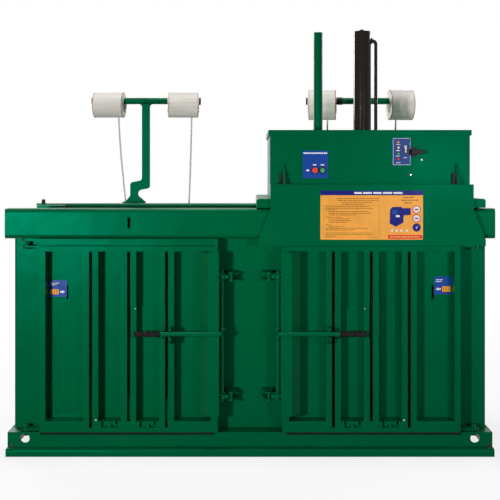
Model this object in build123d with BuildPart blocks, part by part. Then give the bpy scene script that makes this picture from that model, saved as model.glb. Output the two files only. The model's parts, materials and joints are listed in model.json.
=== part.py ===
"""Twin chamber recycling baler: one press head slides on rails over two bale chambers.

Millimetres, +Z up, front towards -Y. The origin is on the floor, in the middle of the base.
"""
import os
from math import cos, hypot, radians, sin

from build123d import *

# Base frame of welded plate
base_length = 2182
base_depth = 780
base_height = 100
base_t = 8
toe_depth = 40
toe_height = 35
toe_round = 14
lift_inset = 78
lift_z = 72
lift_hole = 42
beam_width = 50
beam_t = 6
floor_t = 6

# Chambers, posts and walls
chamber_width = 780
bay_pitch = 1088
body_setback = 88
wall_t = 6
post_width = 140
post_depth = 80
post_t = 6
post_round = 9
wall_gap = 6
side_rib_height = 60
side_rib_depth = 44
side_rib_t = 5
side_rib_count = 3
panel_return = 50
cap_t = 6

# Straps run in three slits across the floor, up the rear wall and up the door
strap_slit = 14
slit_pitch = 170
rib_width = 27
rear_rib_depth = 40
strap_channel_depth = 22
strap_channel_t = 2.5
rear_slit_foot = 24
rear_slit_head = 60
guide_bar_d = 16
guide_bar_z = 170
guide_bar_reach = 22
guide_lug_t = 8
guide_lug_edge = 14

# Rails that carry the press head
rail_length = 2202
rear_rail_length = 2106
rail_depth = 100
rail_height = 135
rail_t = 8
rail_round = 18
rail_bottom = 971
rail_cap_t = 6
locator_slot_width = 12
locator_slot_height = 48
locator_slot_rise = 48
drain_slot_length = 40
stop_plate_length = 50
stop_plate_width = 60
stop_plate_t = 8
stop_bolt_x = 1071
stop_bolt_d = 16
stop_bolt_height = 17
header_height = 30
header_t = 8
header_proud = 20
door_stop_t = 6
door_stop_gap = 4
door_stop_edge = 6
seat_t = 6
seat_reach = 28
seat_height = 60

# Doors
door_width = 800
door_floor_gap = 4
door_head_gap = 3
door_proud = 20
door_depth = 96
door_sheet_t = 5
door_rib_depth = 75
outer_stile = 27
inner_stile = 32
top_rail = 24
bottom_rail = 50
slit_step = 30
tie_slot_width = 73
tie_slot_drop = 29
tie_slot_depth = 20
tie_head_width = 55
tie_head_height = 15
tie_neck_width = 13
level_slot_width = 9
level_slot_height = 62
level_slot_offset = 288
level_slot_z = 723
finger_z_low = 525
finger_z_high = 669
finger_depth = 13

# Door hinges
hinge_x = 1013.5
hinge_setback = 35
pin_d = 20
pin_running_gap = 0.05
leaf_t = 8
leaf_round = 22
lug_t = 12
lug_round = 27
pin_below_flange = 15
pin_above_leaf = 16
pin_collar_d = 36
pin_seat_gap = 0.3
upper_collar_t = 6
upper_collar_gap = 3

# Door lock
lock_x = 126
lock_proud = 15
lock_shaft_d = 20
lock_shaft_bottom = 240
lock_shaft_top = 826
lock_heights = (265, 801)
cam_t = 16
cam_round = 17
cam_reach = 32
cam_nose_round = 8
fin_t = 8
fin_gap = 0.4
fin_round = 16
cover_t = 4
cover_depth = 38
cover_slope = 40
cover_flat = 48
cover_edge_x = 138
cover_bottom = 184
cover_top_gap = 1
keeper_pin_x = 84
keeper_pin_proud = 10
keeper_pin_d = 14
keeper_plate_t = 8
keeper_plate_gap = 4
keeper_root_width = 58
keeper_nose_width = 26
lever_z = 553
lever_proud = 74
lever_bar_d = 20
lever_bend = 16
lever_end_x = 511
lever_hub_d = 34
lever_hub_height = 44
grip_d = 25
grip_start_x = 399
grip_end_x = 516
grip_collar_d = 32
grip_collar_t = 6
grip_end_round = 5
catch_width = 8
catch_slot = 25
catch_back_gap = 4
catch_jaw = 15
catch_lip = 10
catch_foot = 26
catch_drop = 14

# Press head
head_width = 906
sheet_t = 4
hood_proud = 45
hood_lap = 30
hood_lip = 21
hood_flare = 54
flare_low = 968
flare_high = 1101
ledge_z = 1215
cabinet_setback = 35
cabinet_back = 715
deck_t = 12
lid_top = 1461
lid_skirt = 25
lid_side_gap = 3
gusset_t = 8
gusset_height = 94
gusset_depth = 62
gusset_offset = 390
catch_block_width = 15
catch_block_height = 50
catch_block_depth = 24
stiffener_height = 80
stiffener_t = 10
stiffener_offset = 88
latch_width = 9
latch_height = 42
latch_rest_gap = 4
latch_edge = 1.5
latch_guide_wall = 6
latch_guide_gap = 0.4
latch_guide_clear = 7

# End carriages and rollers
carriage_width = 66
carriage_height = 40
carriage_t = 5
carriage_round = 10
carriage_over = 5
carriage_lift = 4
roller_d = 36
roller_width = 50
roller_round = 3
roller_seat_gap = 0.3
axle_d = 16
axle_running_gap = 0.05
cheek_t = 8
cheek_gap = 1

# Cylinder, platen and guide
cylinder_back = 350
cylinder_d = 85
cylinder_bore = 65
cylinder_top = 1950
cylinder_cap_t = 18
gland_height = 30
flange_width = 150
flange_t = 20
top_nut_d = 26
top_nut_height = 9
port_drop = 45
port_d = 30
port_reach = 6
pipe_d = 17
pipe_offset = 66
pipe_bend = 30
pipe_foot_z = 1372
bore_gap = 0.3
rod_d = 45
piston_height = 40
piston_top_gap = 12
platen_side_gap = 8
platen_height = 60
platen_lift = 16
platen_chamfer = 6
groove_depth = 28
rod_foot_d = 110
rod_foot_t = 15
guide_offset = 214
guide_d = 45
guide_t = 4
guide_top = 1945
guide_foot_d = 80
guide_foot_t = 10
guide_bush_d = 80
guide_bush_height = 25
lid_hole_gap = 3

# Power pack inside the cabinet
tank_length = 300
tank_depth = 280
tank_height = 190
tank_offset = 251
tank_round = 16
tank_setback = 300
valve_width = 70
valve_depth = 60
valve_height = 60
filler_d = 50
filler_height = 18
motor_d = 140
motor_length = 220
motor_offset = 236
motor_setback = 160
motor_foot_height = 16
motor_foot_width = 110
pump_d = 90
pump_length = 70
motor_rib_count = 5
motor_rib_t = 6
motor_rib_depth = 5

# Controls, placed from the middle of the head
button_z = 1278
stop_offset = -250
start_offset = -215
bezel_d = 31
bezel_t = 7
button_d = 22
button_gap = 0.4
button_room = 5
button_edge = 1
start_length = 6
stop_length = 14
stop_head_d = 26
stop_head_t = 5
lamp_offset = 128.5
lamp_heights = (1329, 1353, 1381)
lamp_d = 13
lamp_t = 8
toggle_offset = 161
toggle_z = 1361
toggle_base_d = 16
toggle_base_t = 5
toggle_length = 27
toggle_root_d = 6
toggle_tip_d = 12
toggle_pivot_gap = 0.3
switch_offset = 199
switch_z = 1361
switch_plate_d = 44
switch_plate_t = 5
switch_hub_d = 32
switch_hub_t = 16
switch_handle_length = 46
switch_handle_width = 22
switch_tip_width = 17
switch_handle_t = 12
switch_edge = 2
switch_gap = 0.3

# Strap reel stands behind the rear rail
stand_places = (-549, 585)
stand_setback = 780
stand_t = 12
stand_post_width = 42
stand_shift = 62
stand_jog_z = 1198
stand_jog_fall = 12
stand_fillet = 16
stand_throat = 20
stand_foot_height = 32
stand_foot_left = 25
stand_foot_right = 38
stand_head_spread = 18
stand_base_length = 118
stand_base_depth = 40
stand_base_t = 13
bracket_t = 12
bracket_rise = 116
bracket_drop = 90
bracket_gusset_t = 10
arm_z = 1643
arm_d = 34
arm_length = 281
arm_sweep = 5
arm_cap_d = 39
arm_cap_t = 8
arm_collar_d = 40
arm_collar_t = 28
arm_collar_start = 96
reel_core = 76
reel_core_t = 4
reel_core_proud = 3
reel_round = 7
reel_gap = 0.3
reel_sizes = ((132, 160), (132, 160), (158, 146), (158, 126))
reel_end = 276

# Straps pulled from the backs of the reels, round the guide bars and into the rear slits
strap_width = 9
strap_t = 1
strap_bend = 9.5
strap_routes = (
    ((-703, 510.7, 1615), (-544, 360.5, 160.5), (-544, 286, 160.5)),
    ((-312, 517.9, 1615), (-374, 360.5, 160.5), (-374, 286, 160.5)),
    ((418, 524.7, 1613.2), (374, 360.5, 160.5), (374, 286, 160.5)),
    ((786, 527.7, 1613.2), (714, 360.5, 160.5), (714, 286, 160.5)),
)

os.makedirs("parts", exist_ok=True)

# Places worked out from the sizes above
front_y = -base_depth / 2
back_y = base_depth / 2
web_y = front_y + toe_depth
body_y = web_y + body_setback
body_back_y = back_y - rail_depth
floor_top = base_height + floor_t
bay_x = bay_pitch / 2
chamber_outer = bay_x + chamber_width / 2
chamber_inner = bay_x - chamber_width / 2
post_x = chamber_outer + wall_t + post_width / 2
wall_top = rail_bottom - wall_gap
rail_top = rail_bottom + rail_height
rail_front_y = body_y - rail_depth
rail_y = body_y - rail_depth / 2
rear_rail_y = body_back_y + rail_depth / 2
post_top = rail_top - wall_gap
slits = (-slit_pitch, 0, slit_pitch)
rib_reach = strap_slit / 2 + rib_width

door_front = web_y - door_proud
door_bottom = base_height + door_floor_gap
door_top = rail_bottom - header_height - door_head_gap
door_outer = bay_x + door_width / 2
door_inner = bay_x - door_width / 2
sheet_y = door_front + door_rib_depth
hinge_y = web_y + hinge_setback
pin_hole_r = pin_d / 2 + pin_running_gap
lock_y = web_y - lock_proud
lever_y = web_y - lever_proud
cover_y = door_front - cover_depth
cover_top = door_top - top_rail - cover_top_gap
fin_offset = cam_t / 2 + fin_gap

hood_y = web_y - hood_proud
hood_bottom = rail_bottom - hood_lap
cabinet_y = web_y + cabinet_setback
cabinet_back_y = web_y + cabinet_back
carriage_bottom = rail_top + carriage_lift
deck_top = carriage_bottom + carriage_height
deck_bottom = deck_top - deck_t
cabinet_top = lid_top - sheet_t
head_left = bay_x - head_width / 2
head_right = bay_x + head_width / 2
cylinder_y = web_y + cylinder_back
guide_x = bay_x - guide_offset
platen_bottom = rail_bottom + platen_lift
platen_top = platen_bottom + platen_height
port_z = cylinder_top - port_drop


def at_y(y):
    """Upright plane across the machine at this depth, seen from the front."""
    return Plane.XZ.offset(-y)


def span(x_low, x_high, y_low, y_high, mode=Mode.ADD):
    """Rectangle between two corners of the sketch."""
    with Locations(((x_low + x_high) / 2, (y_low + y_high) / 2)):
        Rectangle(x_high - x_low, y_high - y_low, mode=mode)


def save(piece, name):
    """Label a finished piece and write it."""
    piece.part.label = name
    export_step(piece.part, f"parts/{name}.step")


def mirrored(piece):
    """The same piece for the other side of the machine."""
    with BuildPart() as twin:
        mirror(piece.part, about=Plane.YZ)
    return twin


# Front base beam: an angle with lifting holes in its web and a round nosed skid bar along its foot
with BuildPart() as base_front_beam:
    with BuildSketch(Plane.YZ):
        span(web_y, web_y + base_t, 0, base_height)
        span(web_y, body_y, base_height - base_t, base_height)
    extrude(amount=base_length / 2, both=True)
    with BuildSketch(Plane.YZ):
        with BuildLine():
            Line((web_y, 0), (front_y, 0))
            Line((front_y, 0), (front_y, toe_height - toe_round))
            TangentArc((front_y, toe_height - toe_round), (front_y + toe_round, toe_height), tangent=(0, 1))
            Line((front_y + toe_round, toe_height), (web_y, toe_height))
            Line((web_y, toe_height), (web_y, 0))
        make_face()
    extrude(amount=base_length / 2, both=True)
    with BuildSketch(at_y(web_y)):
        lift_x = base_length / 2 - lift_inset
        with Locations((-lift_x, lift_z), (lift_x, lift_z)):
            Circle(lift_hole / 2)
    extrude(amount=-base_t, mode=Mode.SUBTRACT)
    with BuildSketch(Plane.XY.offset(base_height)):
        with Locations((-hinge_x, hinge_y), (hinge_x, hinge_y)):
            Circle(pin_hole_r)
    extrude(amount=-base_t, mode=Mode.SUBTRACT)
save(base_front_beam, "base_front_beam")

with BuildPart() as base_rear_beam:
    with BuildSketch(Plane.YZ):
        span(back_y - base_t, back_y, 0, base_height)
        span(body_back_y, back_y, base_height - base_t, base_height)
    extrude(amount=base_length / 2, both=True)
save(base_rear_beam, "base_rear_beam")

# Cross beams: channels from web to web and a plate at each end, coped under the two flanges
end_plate_x = (base_length - beam_t) / 2
beam_places = [0]
for beam_x in (bay_x - slit_pitch / 2, bay_x + slit_pitch / 2):
    beam_places += [-beam_x, beam_x]
with BuildPart() as base_cross_beams:
    with BuildSketch(at_y(back_y - base_t)):
        for beam_x in beam_places:
            opening = 1 if beam_x <= 0 else -1
            with Locations((beam_x, base_height / 2)):
                Rectangle(beam_width, base_height)
            with Locations((beam_x + opening * beam_t, base_height / 2)):
                Rectangle(beam_width, base_height - 2 * beam_t, mode=Mode.SUBTRACT)
        with Locations((-end_plate_x, base_height / 2), (end_plate_x, base_height / 2)):
            Rectangle(beam_t, base_height)
    extrude(amount=back_y - web_y - 2 * base_t)
    with BuildSketch(Plane.YZ):
        span(web_y, body_y, base_height - base_t, base_height)
        span(body_back_y, back_y, base_height - base_t, base_height)
    extrude(amount=base_length / 2, both=True, mode=Mode.SUBTRACT)
save(base_cross_beams, "base_cross_beams")

# Floor plate with a strap channel under each slot
with BuildPart() as floor_plate:
    with BuildSketch(Plane.XY.offset(base_height)):
        span(-post_x - post_width / 2, post_x + post_width / 2, body_y, body_back_y)
    extrude(amount=floor_t)
    with BuildSketch(at_y(body_back_y)):
        for bay in (-bay_x, bay_x):
            for slit in slits:
                half = strap_slit / 2 + strap_channel_t
                span(bay + slit - half, bay + slit + half, base_height - strap_channel_depth, base_height)
    extrude(amount=body_back_y - body_y)
    with BuildSketch(at_y(body_back_y - post_depth / 2)):
        for bay in (-bay_x, bay_x):
            for slit in slits:
                low = base_height - strap_channel_depth + strap_channel_t
                span(bay + slit - strap_slit / 2, bay + slit + strap_slit / 2, low, floor_top)
    extrude(amount=body_back_y - body_y - post_depth, mode=Mode.SUBTRACT)
save(floor_plate, "floor_plate")


def corner_post(y_centre):
    """Capped hollow corner post that stands on the floor plate, left side."""
    with BuildPart() as post:
        with BuildSketch(Plane.XY.offset(floor_top)):
            with Locations((-post_x, y_centre)):
                RectangleRounded(post_width, post_depth, post_round)
        extrude(amount=post_top - floor_top)
        with BuildSketch(Plane.XY.offset(floor_top)):
            with Locations((-post_x, y_centre)):
                RectangleRounded(post_width - 2 * post_t, post_depth - 2 * post_t, post_round - post_t)
        extrude(amount=post_top - floor_top - cap_t, mode=Mode.SUBTRACT)
    return post


# Front posts carry the upper hinge lug, which also seats the rail
plain_front_post = corner_post(body_y + post_depth / 2)
with BuildPart() as front_left_post:
    add(plain_front_post.part)
    with BuildSketch(Plane.XY.offset(rail_bottom - lug_t)):
        span(-hinge_x - lug_round, -door_outer, hinge_y, body_y)
        span(-hinge_x, -door_outer, hinge_y - lug_round, hinge_y)
        with Locations((-hinge_x, hinge_y)):
            Circle(lug_round)
            Circle(pin_hole_r, mode=Mode.SUBTRACT)
    extrude(amount=lug_t)
front_right_post = mirrored(front_left_post)
save(front_left_post, "front_left_post")
save(front_right_post, "front_right_post")

rear_left_post = corner_post(body_back_y - post_depth / 2)
with BuildPart() as rear_posts:
    add(rear_left_post.part)
    mirror(rear_left_post.part, about=Plane.YZ)
save(rear_posts, "rear_posts")

# Outer side walls with folded ribs between the posts
rib_rise = (wall_top - floor_top) / (side_rib_count + 1)
with BuildPart() as left_side_wall:
    with BuildSketch(Plane.XY.offset(floor_top)):
        span(-chamber_outer - wall_t, -chamber_outer, body_y, body_back_y)
    extrude(amount=wall_top - floor_top)
    with BuildSketch(at_y(body_back_y - post_depth)):
        for count in range(1, side_rib_count + 1):
            middle = floor_top + count * rib_rise
            low = middle - side_rib_height / 2
            high = middle + side_rib_height / 2
            face = -chamber_outer - wall_t
            span(face - side_rib_depth, face, low, high)
            inner = face - side_rib_depth + side_rib_t
            span(inner, face, low + side_rib_t, high - side_rib_t, mode=Mode.SUBTRACT)
    extrude(amount=body_back_y - body_y - 2 * post_depth)
right_side_wall = mirrored(left_side_wall)
save(left_side_wall, "left_side_wall")
save(right_side_wall, "right_side_wall")

# Rear walls: rib pairs flank the strap slits, and a bar guides the straps at the foot
guide_bar_y = body_back_y + rear_rib_depth + guide_bar_reach
guide_bar_half = slit_pitch + rib_reach
with BuildPart() as left_rear_wall:
    with BuildSketch(at_y(body_back_y)):
        span(-chamber_outer, -chamber_inner, floor_top, wall_top)
        for slit in slits:
            middle = slit - bay_x
            low = floor_top + rear_slit_foot
            high = wall_top - rear_slit_head
            span(middle - strap_slit / 2, middle + strap_slit / 2, low, high, mode=Mode.SUBTRACT)
    extrude(amount=wall_t)
    with BuildSketch(at_y(body_back_y)):
        for slit in slits:
            middle = slit - bay_x
            span(middle - rib_reach, middle - strap_slit / 2, floor_top, wall_top)
            span(middle + strap_slit / 2, middle + rib_reach, floor_top, wall_top)
    extrude(amount=-rear_rib_depth)
    with BuildSketch(Plane.YZ.offset(-bay_x - guide_bar_half)):
        with Locations((guide_bar_y, guide_bar_z)):
            Circle(guide_bar_d / 2)
    extrude(amount=2 * guide_bar_half)
    for lug_x in (-bay_x - guide_bar_half, -bay_x + guide_bar_half - guide_lug_t):
        with BuildSketch(Plane.YZ.offset(lug_x)):
            lug_low = guide_bar_z - guide_lug_edge
            lug_high = guide_bar_z + guide_lug_edge
            span(body_back_y + rear_rib_depth, guide_bar_y, lug_low, lug_high)
            with Locations((guide_bar_y, guide_bar_z)):
                Circle(guide_lug_edge)
        extrude(amount=guide_lug_t)
right_rear_wall = mirrored(left_rear_wall)
save(left_rear_wall, "left_rear_wall")
save(right_rear_wall, "right_rear_wall")

# Partition between the chambers: one sheet folded over the top
with BuildPart() as partition:
    with BuildSketch(at_y(body_back_y)):
        span(-chamber_inner, chamber_inner, floor_top, wall_top)
        span(-chamber_inner + wall_t, chamber_inner - wall_t, floor_top, wall_top - wall_t, mode=Mode.SUBTRACT)
    extrude(amount=body_back_y - body_y)
save(partition, "partition")

# Centre panels close the partition and seat the rails
panel_half = chamber_inner - wall_t
panel_top = wall_top - wall_t
keeper_y = web_y - keeper_pin_proud
keeper_offset = cam_t / 2 + keeper_plate_gap


def centre_panel(face_y, inward):
    """Channel between the partition walls, with a seat for the rail outside its upper edge."""
    back = face_y + inward * wall_t
    end = face_y + inward * panel_return
    seat_back = face_y - inward * seat_t
    seat_end = face_y - inward * seat_reach
    with BuildPart() as panel:
        with BuildSketch(Plane.XY.offset(floor_top)):
            span(-panel_half, panel_half, min(face_y, end), max(face_y, end))
            inner_half = panel_half - wall_t
            span(-inner_half, inner_half, min(back, end), max(back, end), mode=Mode.SUBTRACT)
        extrude(amount=panel_top - floor_top)
        with BuildSketch(Plane.YZ):
            span(min(face_y, seat_back), max(face_y, seat_back), rail_bottom - seat_height, rail_bottom)
            span(min(face_y, seat_end), max(face_y, seat_end), rail_bottom - seat_t, rail_bottom)
        extrude(amount=panel_half, both=True)
    return panel


with BuildPart() as centre_panels:
    add(centre_panel(body_y, 1).part)
    add(centre_panel(body_back_y, -1).part)
save(centre_panels, "centre_panels")

# Lock keepers on the front panel: each has two plates with a pin between them for a lock cam
with BuildPart() as lock_keepers:
    for lock_z in lock_heights:
        for side in (-1, 1):
            for low in (lock_z + keeper_offset, lock_z - keeper_offset - keeper_plate_t):
                with BuildSketch(Plane.XY.offset(low)):
                    root = side * keeper_pin_x
                    with BuildLine():
                        Polyline(
                            (root - keeper_root_width / 2, body_y),
                            (root + keeper_root_width / 2, body_y),
                            (root + keeper_nose_width / 2, keeper_y),
                            (root - keeper_nose_width / 2, keeper_y),
                            close=True,
                        )
                    make_face()
                    with Locations((root, keeper_y)):
                        Circle(keeper_nose_width / 2)
                extrude(amount=keeper_plate_t)
            with BuildSketch(Plane.XY.offset(lock_z - keeper_offset)):
                with Locations((side * keeper_pin_x, keeper_y)):
                    Circle(keeper_pin_d / 2)
            extrude(amount=2 * keeper_offset)
save(lock_keepers, "lock_keepers")


def rail_tube(length, y_centre):
    """Capped rectangular hollow section."""
    with BuildPart() as tube:
        with BuildSketch(Plane.YZ):
            with Locations((y_centre, rail_bottom + rail_height / 2)):
                RectangleRounded(rail_depth, rail_height, rail_round)
        extrude(amount=length / 2, both=True)
        with BuildSketch(Plane.YZ):
            with Locations((y_centre, rail_bottom + rail_height / 2)):
                RectangleRounded(rail_depth - 2 * rail_t, rail_height - 2 * rail_t, rail_round - rail_t)
        extrude(amount=length / 2 - rail_cap_t, both=True, mode=Mode.SUBTRACT)
    return tube


front_tube = rail_tube(rail_length, rail_y)
with BuildPart() as front_rail:
    add(front_tube.part)
    with BuildSketch(at_y(rail_front_y)):
        slot_z = rail_bottom + locator_slot_rise + locator_slot_height / 2
        with Locations((-bay_x, slot_z), (bay_x, slot_z)):
            Rectangle(locator_slot_width, locator_slot_height)
    extrude(amount=-rail_t, mode=Mode.SUBTRACT)
save(front_rail, "front_rail")

# The rear rail has drain slots below and a stop bolt on a small plate at each end
rear_tube = rail_tube(rear_rail_length, rear_rail_y)
with BuildPart() as rear_rail:
    add(rear_tube.part)
    with BuildSketch(Plane.XY.offset(rail_bottom)):
        with Locations((-bay_x, rear_rail_y), (bay_x, rear_rail_y)):
            Rectangle(drain_slot_length, strap_slit)
    extrude(amount=rail_t, mode=Mode.SUBTRACT)
    with BuildSketch(Plane.XY.offset(rail_top - stop_plate_t)):
        for side in (-1, 1):
            with Locations((side * (rear_rail_length + stop_plate_length) / 2, rear_rail_y)):
                Rectangle(stop_plate_length, stop_plate_width)
    extrude(amount=stop_plate_t)
    with BuildSketch(Plane.XY.offset(rail_top)):
        with Locations((-stop_bolt_x, rear_rail_y), (stop_bolt_x, rear_rail_y)):
            RegularPolygon(stop_bolt_d / 2, 6)
    extrude(amount=stop_bolt_height)
save(rear_rail, "rear_rail")

# Door headers: an angle under the front rail over each door, with a stop that hangs behind the door
door_back = door_front + door_depth
header_low = rail_bottom - header_height
with BuildPart() as door_header:
    with BuildSketch(Plane.YZ.offset(door_inner)):
        header_front = web_y - header_proud
        span(header_front, header_front + header_t, header_low, rail_bottom)
        span(header_front, body_y - seat_reach, rail_bottom - seat_t, rail_bottom)
    extrude(amount=door_outer - door_inner)
    with BuildSketch(Plane.YZ.offset(chamber_inner + door_stop_edge)):
        stop_front = door_back + door_stop_gap
        span(body_y - seat_reach, stop_front + door_stop_t, rail_bottom - seat_t, rail_bottom)
        span(stop_front, stop_front + door_stop_t, header_low - header_t, rail_bottom)
    extrude(amount=chamber_width - 2 * door_stop_edge)
    mirror(about=Plane.YZ)
save(door_header, "door_header")

# Hinge pins: the lower ones stand in the base flange, the upper ones hang from the lugs
with BuildPart() as hinge_pins:
    with BuildSketch(Plane.XY.offset(base_height - base_t - pin_below_flange)):
        with Locations((-hinge_x, hinge_y), (hinge_x, hinge_y)):
            Circle(pin_d / 2)
    extrude(amount=pin_below_flange + base_t + door_floor_gap + leaf_t + pin_above_leaf)
    with BuildSketch(Plane.XY.offset(base_height)):
        with Locations((-hinge_x, hinge_y), (hinge_x, hinge_y)):
            Circle(pin_collar_d / 2)
    extrude(amount=door_floor_gap - pin_seat_gap)
    upper_low = door_top - leaf_t - upper_collar_gap - upper_collar_t
    with BuildSketch(Plane.XY.offset(upper_low)):
        with Locations((-hinge_x, hinge_y), (hinge_x, hinge_y)):
            Circle(pin_d / 2)
    extrude(amount=rail_bottom - pin_seat_gap - upper_low)
    with BuildSketch(Plane.XY.offset(upper_low)):
        with Locations((-hinge_x, hinge_y), (hinge_x, hinge_y)):
            Circle(pin_collar_d / 2)
    extrude(amount=upper_collar_t)
save(hinge_pins, "hinge_pins")

# Doors: sheet and frame, three rib pairs with open strap slits, hinge leaves, lever catch
opening_low = door_bottom + bottom_rail
opening_high = door_top - top_rail
finger_near = bay_x - slit_pitch + strap_slit / 2
finger_far = bay_x - strap_slit / 2
catch_x = bay_x - slit_pitch - (strap_slit + rib_width) / 2


def side_span(side, near, far, z_low, z_high):
    """Rectangle between two distances from the middle of the machine, side -1 for left, 1 for right."""
    span(*sorted((side * near, side * far)), z_low, z_high)


def door(side):
    """Door of one bay, side -1 for left, 1 for right."""
    bay_middle = side * bay_x
    with BuildPart() as made:
        with BuildSketch(at_y(sheet_y)):
            side_span(side, door_inner, door_outer, door_bottom, door_top)
        extrude(amount=-door_sheet_t)
        with BuildSketch(at_y(door_front)):
            side_span(side, door_inner, door_inner + inner_stile, door_bottom, door_top)
            side_span(side, door_outer - outer_stile, door_outer, door_bottom, door_top)
            side_span(side, door_inner, door_outer, door_bottom, opening_low)
            side_span(side, door_inner, door_outer, opening_high, door_top)
        extrude(amount=-door_depth)
        with BuildSketch(at_y(door_front)):
            for slit in slits:
                span(bay_middle + slit - rib_reach, bay_middle + slit + rib_reach, opening_low, opening_high)
        extrude(amount=-door_rib_depth)
        with BuildSketch(at_y(door_front)):
            for slit in slits:
                low = opening_low - (slit_step if slit else 0)
                middle = bay_middle + slit
                span(middle - strap_slit / 2, middle + strap_slit / 2, low, opening_high)
        extrude(amount=-door_depth, mode=Mode.SUBTRACT)
        with BuildSketch(at_y(door_front)):
            for tie_x in (bay_middle - slit_pitch / 2, bay_middle + slit_pitch / 2):
                slot_half = tie_slot_width / 2
                head_half = tie_head_width / 2
                neck_half = tie_neck_width / 2
                slot_low = opening_low - tie_slot_drop
                head_low = opening_low - tie_head_height
                span(tie_x - slot_half, tie_x + slot_half, slot_low, opening_low)
                span(tie_x - head_half, tie_x + head_half, head_low, opening_low, mode=Mode.SUBTRACT)
                span(tie_x - neck_half, tie_x + neck_half, slot_low, head_low, mode=Mode.SUBTRACT)
        extrude(amount=-tie_slot_depth, mode=Mode.SUBTRACT)
        with BuildSketch(at_y(sheet_y)):
            with Locations((side * (bay_x + level_slot_offset), level_slot_z)):
                Rectangle(level_slot_width, level_slot_height)
        extrude(amount=-door_sheet_t, mode=Mode.SUBTRACT)
        with BuildSketch(at_y(door_front)):
            side_span(side, finger_near, finger_far, finger_z_low, finger_z_high)
        extrude(amount=-finger_depth, mode=Mode.SUBTRACT)
        for leaf_low in (door_bottom, door_top - leaf_t):
            with BuildSketch(Plane.XY.offset(leaf_low)):
                side_span(side, door_outer, hinge_x, hinge_y - leaf_round, hinge_y + leaf_round)
                with Locations((side * hinge_x, hinge_y)):
                    Circle(leaf_round)
                    Circle(pin_hole_r, mode=Mode.SUBTRACT)
            extrude(amount=leaf_t)
        with BuildSketch(Plane.YZ.offset(side * catch_x)):
            slot_low = lever_z - catch_slot / 2
            slot_high = lever_z + catch_slot / 2
            slot_back = lever_y + lever_bar_d / 2 + catch_back_gap
            with BuildLine():
                Polyline(
                    (door_front, slot_low - catch_foot - catch_drop),
                    (lever_y, slot_low - catch_foot),
                    (lever_y - catch_lip - catch_back_gap, slot_low - catch_drop),
                    (lever_y - catch_lip - catch_back_gap, slot_low),
                    (slot_back, slot_low),
                    (slot_back, slot_high),
                    (lever_y - catch_lip, slot_high),
                    (lever_y - catch_lip, slot_high + catch_jaw),
                    (door_front, slot_high + catch_jaw),
                    close=True,
                )
            make_face()
        extrude(amount=catch_width / 2, both=True)
    return made


left_door = door(-1)
right_door = door(1)
save(left_door, "left_door")
save(right_door, "right_door")

# Lock cover: a sheet folded round the lock shaft, with bearing fins inside it
slope_t = cover_t * hypot(cover_slope, cover_depth) / cover_depth
bend_shift = slope_t - cover_t * cover_slope / cover_depth
leg_shift = (slope_t - cover_t) * cover_depth / cover_slope
cover_bend_x = cover_edge_x + cover_flat
cover_leg_x = cover_bend_x + cover_slope
with BuildPart() as left_lock_cover:
    with BuildSketch(Plane.XY.offset(cover_bottom)):
        with BuildLine():
            Polyline(
                (-cover_leg_x, sheet_y),
                (-cover_leg_x, door_front),
                (-cover_bend_x, cover_y),
                (-cover_edge_x, cover_y),
                (-cover_edge_x, cover_y + cover_t),
                (-cover_bend_x + bend_shift, cover_y + cover_t),
                (-cover_leg_x + cover_t, door_front + leg_shift),
                (-cover_leg_x + cover_t, sheet_y),
                close=True,
            )
        make_face()
    extrude(amount=cover_top - cover_bottom)
    for lock_z in lock_heights:
        for low in (lock_z + fin_offset, lock_z - fin_offset - fin_t):
            with BuildSketch(Plane.XY.offset(low)):
                with BuildLine():
                    Polyline(
                        (-cover_leg_x + slope_t, door_front),
                        (-cover_bend_x + bend_shift, cover_y + cover_t),
                        (-cover_edge_x, cover_y + cover_t),
                        (-lock_x + fin_round * cos(radians(45)), lock_y - fin_round * sin(radians(45))),
                        (-lock_x, lock_y),
                        (-door_inner, door_front),
                        close=True,
                    )
                make_face()
                with Locations((-lock_x, lock_y)):
                    Circle(fin_round)
                    Circle(lock_shaft_d / 2 + pin_running_gap, mode=Mode.SUBTRACT)
            extrude(amount=fin_t)
right_lock_cover = mirrored(left_lock_cover)
save(left_lock_cover, "left_lock_cover")
save(right_lock_cover, "right_lock_cover")

# Lock bar: upright shaft with two cams, and a lever bent round in front of the cover
with BuildPart() as left_lock_bar:
    with BuildSketch(Plane.XY.offset(lock_shaft_bottom)):
        with Locations((-lock_x, lock_y)):
            Circle(lock_shaft_d / 2)
    extrude(amount=lock_shaft_top - lock_shaft_bottom)
    for lock_z in lock_heights:
        with BuildSketch(Plane.XY.offset(lock_z - cam_t / 2)):
            with Locations((-lock_x, lock_y)):
                Circle(cam_round)
            nose_x = -lock_x + cam_reach - cam_nose_round
            span(-lock_x, nose_x, lock_y - cam_nose_round, lock_y + cam_nose_round)
            with Locations((nose_x, lock_y)):
                Circle(cam_nose_round)
        extrude(amount=cam_t)
    with BuildSketch(Plane.XY.offset(lever_z - lever_hub_height / 2)):
        with Locations((-lock_x, lock_y)):
            Circle(lever_hub_d / 2)
    extrude(amount=lever_hub_height)
    with BuildSketch(at_y(lock_y)):
        with Locations((-lock_x, lever_z)):
            Circle(lever_bar_d / 2)
    extrude(amount=lock_y - lever_y - lever_bend)
    with BuildSketch(at_y(lever_y + lever_bend)):
        with Locations((-lock_x, lever_z)):
            Circle(lever_bar_d / 2)
    elbow_axis = Axis((-lock_x - lever_bend, lever_y + lever_bend, lever_z), (0, 0, 1))
    revolve(axis=elbow_axis, revolution_arc=-90)
    with BuildSketch(Plane.YZ.offset(-lock_x - lever_bend)):
        with Locations((lever_y, lever_z)):
            Circle(lever_bar_d / 2)
    extrude(amount=lock_x + lever_bend - lever_end_x)
right_lock_bar = mirrored(left_lock_bar)
save(left_lock_bar, "left_lock_bar")
save(right_lock_bar, "right_lock_bar")

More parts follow.
